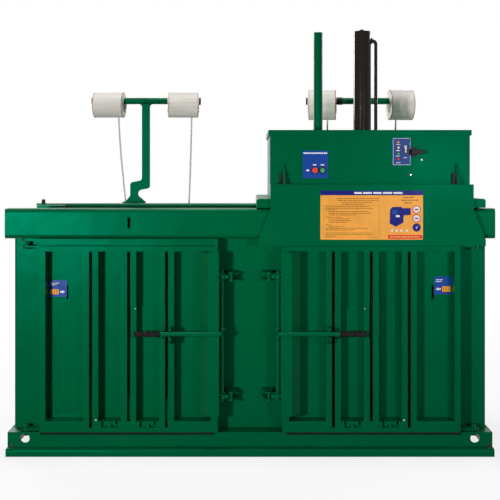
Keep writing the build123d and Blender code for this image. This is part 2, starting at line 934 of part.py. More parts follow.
# Rubber grip pushed over the end of the lever
with BuildPart() as left_lever_grip:
    with BuildSketch(Plane.XY.offset(lever_z)):
        with BuildLine():
            Polyline(
                (-grip_start_x, lever_y - lever_bar_d / 2),
                (-grip_start_x, lever_y - grip_collar_d / 2),
                (-grip_start_x - grip_collar_t, lever_y - grip_collar_d / 2),
                (-grip_start_x - grip_collar_t, lever_y - grip_d / 2),
                (-grip_end_x + grip_end_round, lever_y - grip_d / 2),
                (-grip_end_x, lever_y - grip_d / 2 + grip_end_round),
                (-grip_end_x, lever_y),
                (-lever_end_x, lever_y),
                (-lever_end_x, lever_y - lever_bar_d / 2),
                close=True,
            )
        make_face()
    revolve(axis=Axis((0, lever_y, lever_z), (1, 0, 0)))
right_lever_grip = mirrored(left_lever_grip)
save(left_lever_grip, "left_lever_grip")
save(right_lever_grip, "right_lever_grip")

# End carriages: downward channels across both rails, with an axle for a roller over each rail
axle_z = rail_top + roller_seat_gap + roller_d / 2
carriage_front = rail_y - rail_depth / 2
carriage_back = back_y + carriage_over
roller_half = roller_width / 2


def end_carriage(x_low, x_high, outer_corner):
    """Carriage between two X values; outer_corner picks its rounded top edge, 0 for left, -1 for right."""
    with BuildPart() as carriage:
        with BuildSketch(at_y(carriage_back)):
            span(x_low, x_high, carriage_bottom, deck_top)
        extrude(amount=carriage_back - carriage_front)
        top_edges = carriage.edges().filter_by(Axis.Y).group_by(Axis.Z)[-1].sort_by(Axis.X)
        fillet(top_edges[outer_corner], radius=carriage_round)
        with BuildSketch(at_y(carriage_back - carriage_t)):
            span(x_low + carriage_t, x_high - carriage_t, carriage_bottom, deck_top - carriage_t)
        extrude(amount=carriage_back - carriage_front - 2 * carriage_t, mode=Mode.SUBTRACT)
        for roller_y in (rail_y, rear_rail_y):
            for side in (-1, 1):
                cheek_y = roller_y + side * (roller_half + cheek_gap + cheek_t / 2)
                with BuildSketch(at_y(cheek_y)):
                    span(x_low + carriage_t, x_high - carriage_t, carriage_bottom, deck_top - carriage_t)
                extrude(amount=cheek_t / 2, both=True)
            with BuildSketch(at_y(roller_y)):
                with Locations(((x_low + x_high) / 2, axle_z)):
                    Circle(axle_d / 2)
            extrude(amount=roller_half + cheek_gap + cheek_t, both=True)
    return carriage


left_carriage_end = head_left + carriage_t
right_carriage_end = head_right - carriage_t
left_end_carriage = end_carriage(left_carriage_end - carriage_width, left_carriage_end, 0)
right_end_carriage = end_carriage(right_carriage_end, right_carriage_end + carriage_width, -1)
save(left_end_carriage, "left_end_carriage")
save(right_end_carriage, "right_end_carriage")


def roller(x, y):
    """Plain roller with eased edges, bored for its axle."""
    with BuildPart() as wheel:
        with BuildSketch(at_y(y + roller_half)):
            with Locations((x, axle_z)):
                Circle(roller_d / 2)
        extrude(amount=roller_width)
        chamfer(wheel.edges().filter_by(GeomType.CIRCLE), length=roller_round)
        with BuildSketch(at_y(y + roller_half)):
            with Locations((x, axle_z)):
                Circle(axle_d / 2 + axle_running_gap)
        extrude(amount=roller_width, mode=Mode.SUBTRACT)
    return wheel


left_roller_x = left_carriage_end - carriage_width / 2
right_roller_x = right_carriage_end + carriage_width / 2
for name, roller_x, roller_y in (
    ("front_left_roller", left_roller_x, rail_y),
    ("front_right_roller", right_roller_x, rail_y),
    ("rear_left_roller", left_roller_x, rear_rail_y),
    ("rear_right_roller", right_roller_x, rear_rail_y),
):
    save(roller(roller_x, roller_y), name)

# Deck between the carriages, stiffened beside the cylinder
with BuildPart() as head_deck:
    with BuildSketch(Plane.XY.offset(deck_bottom)):
        span(left_carriage_end, right_carriage_end, cabinet_y, cabinet_back_y)
        with Locations((bay_x, cylinder_y)):
            Circle(rod_d / 2 + lid_hole_gap, mode=Mode.SUBTRACT)
        with Locations((guide_x, cylinder_y)):
            Circle(guide_d / 2 + bore_gap, mode=Mode.SUBTRACT)
    extrude(amount=deck_t)
    with BuildSketch(Plane.XY.offset(deck_top)):
        for side in (-1, 1):
            stiffener_x = bay_x + side * stiffener_offset
            half = stiffener_t / 2
            inner_back = cabinet_back_y - sheet_t
            span(stiffener_x - half, stiffener_x + half, cabinet_y + sheet_t, inner_back)
    extrude(amount=stiffener_height)
    with BuildSketch(Plane.XY.offset(deck_top)):
        with Locations((guide_x, cylinder_y)):
            Circle(guide_bush_d / 2)
            Circle(guide_d / 2 + bore_gap, mode=Mode.SUBTRACT)
    extrude(amount=guide_bush_height)
save(head_deck, "head_deck")

# Front hood: a folded tray that flares below, with a ledge and cheeks back to the cabinet
slot_centre_z = rail_bottom + locator_slot_rise + locator_slot_height / 2
hood_outline = [
    (head_left, ledge_z),
    (head_left, flare_high),
    (head_left - hood_flare, flare_low),
    (head_left - hood_flare, hood_bottom),
    (head_right + hood_flare, hood_bottom),
    (head_right + hood_flare, flare_low),
    (head_right, flare_high),
    (head_right, ledge_z),
]
with BuildPart() as front_hood:
    with BuildSketch(at_y(hood_y)):
        with BuildLine():
            Polyline(*hood_outline, close=True)
        make_face()
    extrude(amount=-hood_lip)
    with BuildSketch(at_y(hood_y + sheet_t)):
        with BuildLine():
            Polyline(*hood_outline, close=True)
        make_face()
        offset(amount=-sheet_t, kind=Kind.INTERSECTION, mode=Mode.REPLACE)
    extrude(amount=-hood_lip, mode=Mode.SUBTRACT)
    with BuildSketch(Plane.YZ.offset(head_left)):
        span(hood_y, cabinet_y, deck_top, ledge_z)
    extrude(amount=sheet_t)
    with BuildSketch(Plane.YZ.offset(head_right)):
        span(hood_y, cabinet_y, deck_top, ledge_z)
    extrude(amount=-sheet_t)
    with BuildSketch(Plane.XY.offset(ledge_z)):
        span(head_left, head_right, hood_y, cabinet_y)
    extrude(amount=-sheet_t)
    for side in (-1, 1):
        with BuildSketch(Plane.YZ.offset(bay_x + side * gusset_offset - gusset_t / 2)):
            with BuildLine():
                Polyline(
                    (cabinet_y, ledge_z),
                    (cabinet_y - gusset_depth, ledge_z),
                    (cabinet_y, ledge_z + gusset_height),
                    close=True,
                )
            make_face()
        extrude(amount=gusset_t)
    # Guide for the head latch, on the inside of the front sheet
    with BuildSketch(at_y(hood_y + sheet_t)):
        with Locations((bay_x, slot_centre_z)):
            outer = 2 * (latch_guide_gap + latch_guide_wall)
            inner = 2 * latch_guide_gap
            Rectangle(latch_width + outer, latch_height + outer)
            Rectangle(latch_width + inner, latch_height + inner, mode=Mode.SUBTRACT)
    extrude(amount=hood_y + sheet_t - rail_front_y + latch_guide_clear)
save(front_hood, "front_hood")

# Tongue that locks the head to the rail at either chamber
latch_tip = rail_front_y - latch_rest_gap
latch_root = hood_y + sheet_t + latch_rest_gap
with BuildPart() as head_latch:
    with BuildSketch(at_y(latch_tip)):
        with Locations((bay_x, slot_centre_z)):
            Rectangle(latch_width, latch_height)
    extrude(amount=latch_tip - latch_root)
    chamfer(head_latch.faces().sort_by(Axis.Y)[-1].edges(), length=latch_edge)
save(head_latch, "head_latch")

# Cabinet: four walls on the deck and carriages
with BuildPart() as head_cabinet:
    with BuildSketch(Plane.XY.offset(deck_top)):
        span(head_left, head_right, cabinet_y, cabinet_back_y)
        inner_left = head_left + sheet_t
        inner_right = head_right - sheet_t
        span(inner_left, inner_right, cabinet_y + sheet_t, cabinet_back_y - sheet_t, mode=Mode.SUBTRACT)
    extrude(amount=cabinet_top - deck_top)
save(head_cabinet, "head_cabinet")

# Lid: a shallow tray with holes for the cylinder, its pipe and the guide tube
lid_over = sheet_t + lid_side_gap
pipe_x = bay_x + pipe_offset
with BuildPart() as head_lid:
    with BuildSketch(Plane.XY.offset(lid_top - lid_skirt)):
        span(head_left - lid_over, head_right + lid_over, cabinet_y - lid_over, cabinet_back_y + lid_over)
    extrude(amount=lid_skirt)
    with BuildSketch(Plane.XY.offset(lid_top - lid_skirt)):
        gap = lid_side_gap
        span(head_left - gap, head_right + gap, cabinet_y - gap, cabinet_back_y + gap)
    extrude(amount=lid_skirt - sheet_t, mode=Mode.SUBTRACT)
    with BuildSketch(Plane.XY.offset(lid_top)):
        with Locations((bay_x, cylinder_y)):
            Circle(cylinder_d / 2 + lid_hole_gap)
        with Locations((pipe_x, cylinder_y)):
            Circle(pipe_d / 2 + lid_hole_gap)
        with Locations((guide_x, cylinder_y)):
            Circle(guide_d / 2 + lid_hole_gap)
    extrude(amount=-sheet_t, mode=Mode.SUBTRACT)
save(head_lid, "head_lid")

# Hydraulic cylinder: flanged at the deck, capped and ported at the top
with BuildPart() as press_cylinder:
    with BuildSketch(Plane.XY.offset(deck_top)):
        with Locations((bay_x, cylinder_y)):
            RectangleRounded(flange_width, flange_width, post_round)
    extrude(amount=flange_t)
    with BuildSketch(Plane.XY.offset(deck_top)):
        with Locations((bay_x, cylinder_y)):
            Circle(cylinder_d / 2)
    extrude(amount=cylinder_top - deck_top)
    with BuildSketch(Plane.XY.offset(cylinder_top)):
        with Locations((bay_x, cylinder_y)):
            RegularPolygon(top_nut_d / 2, 6)
    extrude(amount=top_nut_height)
    with BuildSketch(Plane.YZ.offset(bay_x)):
        with Locations((cylinder_y, port_z)):
            Circle(port_d / 2)
    extrude(amount=cylinder_d / 2 + port_reach)
    with BuildSketch(Plane.XY.offset(deck_top)):
        with Locations((bay_x, cylinder_y)):
            Circle(rod_d / 2 + bore_gap)
    extrude(amount=gland_height, mode=Mode.SUBTRACT)
    with BuildSketch(Plane.XY.offset(deck_top + gland_height)):
        with Locations((bay_x, cylinder_y)):
            Circle(cylinder_bore / 2)
    extrude(amount=cylinder_top - cylinder_cap_t - deck_top - gland_height, mode=Mode.SUBTRACT)
save(press_cylinder, "press_cylinder")

# Steel pipe from the top port down through the lid to the valve block
valve_face = bay_x + tank_offset - tank_length / 2
pipe_start = bay_x + cylinder_d / 2 + port_reach
pipe_top_bend = pipe_x - pipe_start
with BuildPart() as cylinder_pipe:
    with BuildLine(at_y(cylinder_y)) as pipe_path:
        TangentArc((pipe_start, port_z), (pipe_x, port_z - pipe_top_bend), tangent=(1, 0))
        Line((pipe_x, port_z - pipe_top_bend), (pipe_x, pipe_foot_z + pipe_bend))
        TangentArc((pipe_x, pipe_foot_z + pipe_bend), (pipe_x + pipe_bend, pipe_foot_z), tangent=(0, -1))
        Line((pipe_x + pipe_bend, pipe_foot_z), (valve_face, pipe_foot_z))
    with BuildSketch(Plane.YZ.offset(pipe_start)):
        with Locations((cylinder_y, port_z)):
            Circle(pipe_d / 2)
    sweep(path=pipe_path.wires()[0])
save(cylinder_pipe, "cylinder_pipe")

# Hydraulic tank with its valve block and filler
tank_x = bay_x + tank_offset
tank_front = web_y + tank_setback
tank_top = deck_top + tank_height
with BuildPart() as hydraulic_tank:
    with BuildSketch(Plane.XY.offset(deck_top)):
        with Locations((tank_x, tank_front + tank_depth / 2)):
            RectangleRounded(tank_length, tank_depth, tank_round)
    extrude(amount=tank_height)
    with BuildSketch(Plane.XY.offset(tank_top)):
        with Locations((tank_x + tank_length / 4, tank_front + tank_depth / 2)):
            Circle(filler_d / 2)
    extrude(amount=filler_height)
    with BuildSketch(Plane.XY.offset(tank_top)):
        with Locations((valve_face + valve_width / 2, cylinder_y)):
            Rectangle(valve_width, valve_depth)
    extrude(amount=valve_height)
save(hydraulic_tank, "hydraulic_tank")

# Motor on its feet, ribbed, with the pump on its end
motor_x = bay_x + motor_offset
motor_y = web_y + motor_setback
motor_z = deck_top + motor_foot_height + motor_d / 2
with BuildPart() as pump_motor:
    with BuildSketch(Plane.YZ.offset(motor_x - motor_length / 2)):
        with Locations((motor_y, motor_z)):
            Circle(motor_d / 2 - motor_rib_depth)
    extrude(amount=motor_length)
    rib_step = motor_length / (motor_rib_count + 1)
    for count in range(1, motor_rib_count + 1):
        with BuildSketch(Plane.YZ.offset(motor_x - motor_length / 2 + count * rib_step - motor_rib_t / 2)):
            with Locations((motor_y, motor_z)):
                Circle(motor_d / 2)
        extrude(amount=motor_rib_t)
    with BuildSketch(Plane.YZ.offset(motor_x + motor_length / 2)):
        with Locations((motor_y, motor_z)):
            Circle(pump_d / 2)
    extrude(amount=pump_length)
    with BuildSketch(Plane.YZ.offset(motor_x - motor_length / 4)):
        foot_half = motor_foot_width / 2
        span(motor_y - foot_half, motor_y + foot_half, deck_top, motor_z - motor_d / 4)
    extrude(amount=motor_length / 2)
save(pump_motor, "pump_motor")

# Platen: closed pressing plate with strap grooves across its underside
platen_half = chamber_width / 2 - platen_side_gap
platen_front = body_y + platen_side_gap
platen_back = body_back_y - wall_t - platen_side_gap
with BuildPart() as press_platen:
    with BuildSketch(Plane.XY.offset(platen_bottom)):
        span(bay_x - platen_half, bay_x + platen_half, platen_front, platen_back)
    extrude(amount=platen_height)
    chamfer(press_platen.edges().filter_by(Axis.Z), length=platen_chamfer)
    chamfer(press_platen.faces().sort_by(Axis.Z)[-1].edges(), length=platen_chamfer)
    with BuildSketch(at_y(platen_back)):
        for slit in slits:
            middle = bay_x + slit
            span(middle - strap_slit / 2, middle + strap_slit / 2, platen_bottom, platen_bottom + groove_depth)
    extrude(amount=platen_back - platen_front, mode=Mode.SUBTRACT)
save(press_platen, "press_platen")

piston_top = cylinder_top - cylinder_cap_t - piston_top_gap
with BuildPart() as piston_rod:
    with BuildSketch(Plane.XY.offset(platen_top)):
        with Locations((bay_x, cylinder_y)):
            Circle(rod_foot_d / 2)
    extrude(amount=rod_foot_t)
    with BuildSketch(Plane.XY.offset(platen_top)):
        with Locations((bay_x, cylinder_y)):
            Circle(rod_d / 2)
    extrude(amount=piston_top - platen_top)
    with BuildSketch(Plane.XY.offset(piston_top)):
        with Locations((bay_x, cylinder_y)):
            Circle(cylinder_bore / 2 - bore_gap)
    extrude(amount=-piston_height)
save(piston_rod, "piston_rod")

with BuildPart() as guide_tube:
    with BuildSketch(Plane.XY.offset(platen_top)):
        with Locations((guide_x, cylinder_y)):
            Circle(guide_foot_d / 2)
    extrude(amount=guide_foot_t)
    with BuildSketch(Plane.XY.offset(platen_top)):
        with Locations((guide_x, cylinder_y)):
            Circle(guide_d / 2)
    extrude(amount=guide_top - platen_top)
    with BuildSketch(Plane.XY.offset(platen_top + guide_foot_t)):
        with Locations((guide_x, cylinder_y)):
            Circle(guide_d / 2 - guide_t)
    extrude(amount=guide_top - platen_top - guide_foot_t, mode=Mode.SUBTRACT)
save(guide_tube, "guide_tube")

# Fixed fittings of the cabinet: button bezels, lamps, toggle base, switch plate, blocks beside the gussets
stop_x = bay_x + stop_offset
start_x = bay_x + start_offset
lamp_x = bay_x + lamp_offset
toggle_x = bay_x + toggle_offset
switch_x = bay_x + switch_offset
with BuildPart() as panel_fittings:
    with BuildSketch(at_y(cabinet_y)):
        with Locations((stop_x, button_z), (start_x, button_z)):
            Circle(bezel_d / 2)
            Circle(button_d / 2 + button_gap, mode=Mode.SUBTRACT)
    extrude(amount=bezel_t)
    with BuildSketch(at_y(cabinet_y)):
        for lamp_z in lamp_heights:
            with Locations((lamp_x, lamp_z)):
                Circle(lamp_d / 2)
    extrude(amount=lamp_t)
    with BuildSketch(at_y(cabinet_y)):
        with Locations((toggle_x, toggle_z)):
            Circle(toggle_base_d / 2)
    extrude(amount=toggle_base_t)
    with BuildSketch(at_y(cabinet_y)):
        with Locations((switch_x, switch_z)):
            Circle(switch_plate_d / 2)
    extrude(amount=switch_plate_t)
    for side in (-1, 1):
        block_x = bay_x + side * gusset_offset - (gusset_t + catch_block_width) / 2
        with BuildSketch(at_y(cabinet_y)):
            with Locations((block_x, ledge_z + catch_block_height / 2)):
                Rectangle(catch_block_width, catch_block_height)
        extrude(amount=catch_block_depth)
save(panel_fittings, "panel_fittings")


def push_button(x, length, head_d, head_t):
    """Button that stands in its bezel, with room behind it to be pressed."""
    back = cabinet_y - button_room
    with BuildPart() as button:
        with BuildSketch(at_y(back)):
            with Locations((x, button_z)):
                Circle(button_d / 2)
        extrude(amount=length)
        with BuildSketch(at_y(back - length)):
            with Locations((x, button_z)):
                Circle(head_d / 2)
        extrude(amount=-head_t)
        chamfer(button.faces().sort_by(Axis.Y)[0].edges(), length=button_edge)
    return button


stop_button = push_button(stop_x, stop_length, stop_head_d, stop_head_t)
start_button = push_button(start_x, start_length, button_d, start_length)
save(stop_button, "stop_button")
save(start_button, "start_button")

# Toggle: a bat lever in front of its base
toggle_y = cabinet_y - toggle_base_t - toggle_pivot_gap - toggle_tip_d / 2
with BuildPart() as toggle_switch:
    with BuildSketch(Plane.YZ.offset(toggle_x)):
        with BuildLine():
            Polyline(
                (toggle_y, toggle_z - toggle_tip_d / 2),
                (toggle_y - toggle_tip_d / 2, toggle_z),
                (toggle_y - toggle_root_d / 2, toggle_z + toggle_root_d),
                (toggle_y - toggle_tip_d / 2, toggle_z + toggle_length - toggle_root_d),
                (toggle_y - toggle_tip_d / 4, toggle_z + toggle_length),
                (toggle_y, toggle_z + toggle_length),
                close=True,
            )
        make_face()
    revolve(axis=Axis((toggle_x, toggle_y, 0), (0, 0, 1)))
save(toggle_switch, "toggle_switch")

# Main switch: round hub with a tapered handle that points right
switch_y = cabinet_y - switch_plate_t - switch_gap
with BuildPart() as main_switch:
    with BuildSketch(at_y(switch_y)):
        with Locations((switch_x, switch_z)):
            Circle(switch_hub_d / 2)
    extrude(amount=switch_hub_t)
    with BuildSketch(at_y(switch_y - switch_hub_t)):
        with BuildLine():
            Polyline(
                (switch_x - switch_hub_d / 2, switch_z - switch_handle_width / 2),
                (switch_x + switch_handle_length, switch_z - switch_tip_width / 2),
                (switch_x + switch_handle_length, switch_z + switch_tip_width / 2),
                (switch_x - switch_hub_d / 2, switch_z + switch_handle_width / 2),
                close=True,
            )
        make_face()
    extrude(amount=switch_handle_t)
    chamfer(main_switch.faces().sort_by(Axis.Y)[0].edges(), length=switch_edge)
save(main_switch, "main_switch")

# Reel stands: a jogged post plate, two arms swept back, and a gusseted bracket on the rear rail
stand_y = web_y + stand_setback
post_half = stand_post_width / 2
jog_edge = post_half + stand_jog_fall / 2
bracket_top = rail_bottom + bracket_rise + bracket_t
stand_foot_z = bracket_top + stand_base_t
sweep_cos = cos(radians(arm_sweep))
sweep_sin = sin(radians(arm_sweep))


def arm_plane(place, side, z):
    """Plane square to one arm, at the post centre; side is -1 for the left arm."""
    return Plane(origin=(place, stand_y, z), x_dir=(0, 0, 1), z_dir=(side * sweep_cos, sweep_sin, 0))


def reel_stand(place):
    """Stand with its post centre at this X."""
    foot_x = place - stand_shift
    with BuildPart() as stand:
        with BuildSketch(at_y(stand_y)) as outline:
            with BuildLine():
                Polyline(
                    (place - post_half, arm_z),
                    (place - post_half, stand_jog_z + jog_edge),
                    (foot_x - post_half, stand_jog_z + jog_edge - stand_jog_fall),
                    (foot_x - post_half, stand_foot_z + stand_foot_height),
                    (foot_x - post_half - stand_foot_left, stand_foot_z),
                    (foot_x + post_half + stand_foot_right, stand_foot_z),
                    (foot_x + post_half, stand_foot_z + stand_foot_height),
                    (foot_x + post_half, stand_jog_z - jog_edge),
                    (place + post_half, stand_jog_z - jog_edge + stand_jog_fall),
                    (place + post_half, arm_z),
                    close=True,
                )
            make_face()
            throat_x = foot_x + post_half
            jog_corners = outline.vertices().filter_by_position(
                Axis.Y, stand_jog_z - stand_post_width, stand_jog_z + stand_post_width
            )
            fillet(jog_corners.filter_by(lambda corner: corner.X != throat_x), radius=stand_fillet)
            throat = outline.vertices().filter_by_position(Axis.X, throat_x - 1, throat_x + 1)
            fillet(throat, radius=stand_throat)
            head_half = post_half + stand_head_spread
            span(place - head_half, place + head_half, arm_z - arm_d / 2, arm_z)
            neck_z = arm_z - arm_d / 2
            neck = outline.vertices().filter_by_position(Axis.Y, neck_z - 1, neck_z + 1)
            inner_neck = neck.filter_by_position(Axis.X, place - post_half - 1, place + post_half + 1)
            fillet(inner_neck, radius=stand_fillet)
        extrude(amount=stand_t / 2, both=True)
        for side in (-1, 1):
            with BuildSketch(arm_plane(place, side, arm_z)):
                Circle(arm_d / 2)
            extrude(amount=arm_length)
        with BuildSketch(Plane.XY.offset(bracket_top)):
            with Locations((foot_x, stand_y)):
                Rectangle(stand_base_length, stand_base_depth)
        extrude(amount=stand_base_t)
        bracket_back = stand_y + stand_base_depth / 2
        with BuildSketch(Plane.XY.offset(bracket_top)):
            base_half = stand_base_length / 2
            span(foot_x - base_half, foot_x + base_half, back_y, bracket_back)
        extrude(amount=-bracket_t)
        for gusset_x in (foot_x - base_half, foot_x + base_half - bracket_gusset_t):
            with BuildSketch(Plane.YZ.offset(gusset_x)):
                with BuildLine():
                    Polyline(
                        (back_y, bracket_top),
                        (bracket_back, bracket_top),
                        (bracket_back, bracket_top - bracket_t),
                        (back_y, bracket_top - bracket_drop),
                        close=True,
                    )
                make_face()
            extrude(amount=bracket_gusset_t)
    return stand


left_reel_stand = reel_stand(stand_places[0])
right_reel_stand = reel_stand(stand_places[1])
save(left_reel_stand, "left_reel_stand")
save(right_reel_stand, "right_reel_stand")

# Caps on the four arms, and a collar inside the left reel of the right stand
with BuildPart() as stand_end_caps:
    for place in stand_places:
        for side in (-1, 1):
            with BuildSketch(arm_plane(place, side, arm_z).offset(arm_length)):
                Circle(arm_cap_d / 2)
            extrude(amount=arm_cap_t)
    with BuildSketch(arm_plane(stand_places[1], -1, arm_z).offset(arm_collar_start)):
        Circle(arm_collar_d / 2)
        Circle(arm_d / 2, mode=Mode.SUBTRACT)
    extrude(amount=arm_collar_t)
save(stand_end_caps, "stand_end_caps")

# Reels hang on their arms by the top of their bore
reel_z = arm_z - (reel_core - arm_d) / 2 + reel_gap


def strap_reel(place, side, diameter, width):
    """Wound strap on a core that stands a little proud at both ends."""
    start = arm_plane(place, side, reel_z).offset(reel_end - width)
    with BuildPart() as reel:
        with BuildSketch(start):
            Circle(diameter / 2)
        extrude(amount=width)
        fillet(reel.edges().filter_by(GeomType.CIRCLE), radius=reel_round)
        with BuildSketch(start.offset(-reel_core_proud)):
            Circle(reel_core / 2 + reel_core_t)
        extrude(amount=width + 2 * reel_core_proud)
        with BuildSketch(start.offset(-reel_core_proud)):
            Circle(reel_core / 2)
        extrude(amount=width + 2 * reel_core_proud, mode=Mode.SUBTRACT)
    return reel


reels = (
    ("left_outer_reel", stand_places[0], -1),
    ("left_inner_reel", stand_places[0], 1),
    ("right_inner_reel", stand_places[1], -1),
    ("right_outer_reel", stand_places[1], 1),
)
for (name, place, side), (diameter, width) in zip(reels, reel_sizes):
    save(strap_reel(place, side, diameter, width), name)

# Straps: flat section swept along two straight runs, tight round the guide bar
for number, (start, corner, end) in enumerate(strap_routes, 1):
    down = Vector(*corner) - Vector(*start)
    with BuildPart() as strap:
        with BuildLine() as route:
            FilletPolyline(start, corner, end, radius=strap_bend)
        with BuildSketch(Plane(origin=start, x_dir=(1, 0, 0), z_dir=down)):
            Rectangle(strap_width, strap_t)
        sweep(path=route.wires()[0])
    save(strap, f"strap_tail_{number}")
    arcs = route.edges().filter_by(GeomType.CIRCLE)
    print(f"strap_tail_{number}", "arc radii", [round(arc.radius, 1) for arc in arcs])
    print("  volume", round(strap.part.volume), "section x length", round(strap_width * strap_t * route.wires()[0].length))
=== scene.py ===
"""Looks of the twin chamber recycling baler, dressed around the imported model.

Metres, +Z up, front towards -Y, the origin on the floor in the middle of the base.
"""
import json
from math import cos, pi, radians, sin
from random import Random

import bmesh
import bpy
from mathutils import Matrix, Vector


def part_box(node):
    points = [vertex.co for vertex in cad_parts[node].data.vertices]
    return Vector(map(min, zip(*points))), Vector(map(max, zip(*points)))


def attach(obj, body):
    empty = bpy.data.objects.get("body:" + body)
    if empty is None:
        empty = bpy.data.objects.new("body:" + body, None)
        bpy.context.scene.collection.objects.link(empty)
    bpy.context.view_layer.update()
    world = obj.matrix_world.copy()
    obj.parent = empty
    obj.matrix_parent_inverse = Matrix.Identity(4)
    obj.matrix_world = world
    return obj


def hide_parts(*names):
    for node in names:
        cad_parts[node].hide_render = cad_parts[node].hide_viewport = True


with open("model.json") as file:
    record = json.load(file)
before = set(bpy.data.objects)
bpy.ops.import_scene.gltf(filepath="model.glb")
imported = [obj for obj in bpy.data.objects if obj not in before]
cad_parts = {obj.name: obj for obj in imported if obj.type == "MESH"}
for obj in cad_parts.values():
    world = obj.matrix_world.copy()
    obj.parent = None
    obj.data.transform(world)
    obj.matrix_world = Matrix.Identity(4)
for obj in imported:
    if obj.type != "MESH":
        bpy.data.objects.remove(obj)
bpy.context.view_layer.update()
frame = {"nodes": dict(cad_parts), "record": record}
nodes = frame["nodes"]
scene = bpy.context.scene

# Camera, fitted to the photograph
camera_distance = 4.85
camera_height = 1.284
camera_lens = 72
camera_shift = -0.162

# Strap tails: width, thickness and the points they follow from the reels to the rear slits
strap_width = 0.009
strap_t = 0.001
strap_routes = (
    ((-0.703, 0.5107, 1.615), (-0.7035, 0.499, 1.5), (-0.66, 0.4582, 1.106),
     (-0.5484, 0.3651, 0.2), (-0.544, 0.3615, 0.1595), (-0.544, 0.335, 0.1605), (-0.544, 0.286, 0.1605)),
    ((-0.312, 0.5179, 1.615), (-0.3175, 0.4628, 1.106),
     (-0.3725, 0.3651, 0.2), (-0.374, 0.3615, 0.1595), (-0.374, 0.335, 0.1605), (-0.374, 0.286, 0.1605)),
    ((0.418, 0.5247, 1.6132), (0.3752, 0.3653, 0.2), (0.374, 0.3615, 0.1595), (0.374, 0.335, 0.1605),
     (0.374, 0.286, 0.1605)),
    ((0.786, 0.5277, 1.6132), (0.716, 0.3654, 0.2), (0.714, 0.3615, 0.1595), (0.714, 0.335, 0.1605),
     (0.714, 0.286, 0.1605)),
)
strap_lengths = (1.542, 1.536, 1.534, 1.535)

# Faces that labels, screws and welds sit on
forward = (0, -1, 0)
door_y = -0.37
sheet_y = -0.295
hood_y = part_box("front_hood")[0].y
cabinet_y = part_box("head_cabinet")[0].y
rail_top = 1.106

# Thickness of a label, of each layer of print on it, and the corners of labels
label_t = 0.0006
print_t = 0.0002
small_corner = 0.002
large_corner = 0.003

# Paint and print colours
green = (0.0, 0.092, 0.03)
green_dark = (0.0, 0.079, 0.029)
teal = (0.0, 0.8, 0.45)
print_blue = (0.003, 0.055, 0.34)
print_navy = (0.001, 0.002, 0.19)
print_violet = (0.02, 0.06, 0.26)
print_orange = (0.96, 0.42, 0.066)
print_amber = (0.9, 0.36, 0.02)
print_pale = (0.82, 0.84, 0.88)
print_brown = (0.3, 0.12, 0.01)
print_red = (0.8, 0.04, 0.05)


# Materials

def new_tree(name):
    made = bpy.data.materials.new(name)
    made.use_nodes = True
    made.node_tree.nodes.clear()
    return made


def add(tree, kind, values=None, **settings):
    made = tree.nodes.new(kind)
    for key, value in settings.items():
        setattr(made, key, value)
    for key, value in (values or {}).items():
        made.inputs[key].default_value = value
    return made


def noise(tree, place, scale, detail=2.0, stretch=(1, 1, 1)):
    """A noise over the object's own coordinates, in cells a metre."""
    placed = add(tree, "ShaderNodeMapping", {"Scale": stretch})
    made = add(tree, "ShaderNodeTexNoise", {"Scale": scale, "Detail": detail})
    tree.links.new(place.outputs["Object"], placed.inputs["Vector"])
    tree.links.new(placed.outputs["Vector"], made.inputs["Vector"])
    return made.outputs["Fac"]


def spread(tree, value, low, high, start=0.3, end=0.7):
    """Maps the middle of a noise to a range."""
    made = add(tree, "ShaderNodeMapRange",
               {"From Min": start, "From Max": end, "To Min": low, "To Max": high})
    tree.links.new(value, made.inputs["Value"])
    return made.outputs["Result"]


def two_tone(tree, value, light, dark):
    made = add(tree, "ShaderNodeMix", data_type="RGBA")
    made.inputs["A"].default_value = (*light, 1)
    made.inputs["B"].default_value = (*dark, 1)
    tree.links.new(value, made.inputs["Factor"])
    return made.outputs["Result"]


def bumped(tree, height, depth, under=None):
    made = add(tree, "ShaderNodeBump", {"Strength": 1.0, "Distance": depth})
    tree.links.new(height, made.inputs["Height"])
    if under:
        tree.links.new(under, made.inputs["Normal"])
    return made.outputs["Normal"]


def finish(name, light, dark, patch, rough, bumps=(), edge=0.0, stretch=(1, 1, 1), ribs=None, **sockets):
    """Two tones mixed by a slow noise, roughness by another, and bumps over softened edges.

    Bumps are (cells a metre, depth). Ribs, across X on a moulded grip, are (wave scale, depth):
    a scale of 30 gives one about every centimetre.
    """
    made = new_tree(name)
    tree = made.node_tree
    place = add(tree, "ShaderNodeTexCoord")
    shader = add(tree, "ShaderNodeBsdfPrincipled")
    out = add(tree, "ShaderNodeOutputMaterial")
    tree.links.new(shader.outputs["BSDF"], out.inputs["Surface"])
    for key, value in sockets.items():
        shader.inputs[key.replace("_", " ")].default_value = value
    tone = spread(tree, noise(tree, place, patch, 3, stretch), 0, 1)
    tree.links.new(two_tone(tree, tone, light, dark), shader.inputs["Base Color"])
    dullness = spread(tree, noise(tree, place, patch * 2.7, 4, stretch), *rough)
    tree.links.new(dullness, shader.inputs["Roughness"])
    normal = None
    if edge:
        normal = add(tree, "ShaderNodeBevel", {"Radius": edge}, samples=4).outputs["Normal"]
    for scale, depth in bumps:
        normal = bumped(tree, noise(tree, place, scale, 2, stretch), depth, normal)
    if ribs:
        wave_scale, depth = ribs
        turns = add(tree, "ShaderNodeTexWave", {"Scale": wave_scale}, bands_direction="X")
        tree.links.new(place.outputs["Object"], turns.inputs["Vector"])
        normal = bumped(tree, turns.outputs["Fac"], depth, normal)
    if normal:
        tree.links.new(normal, shader.inputs["Normal"])
    return made


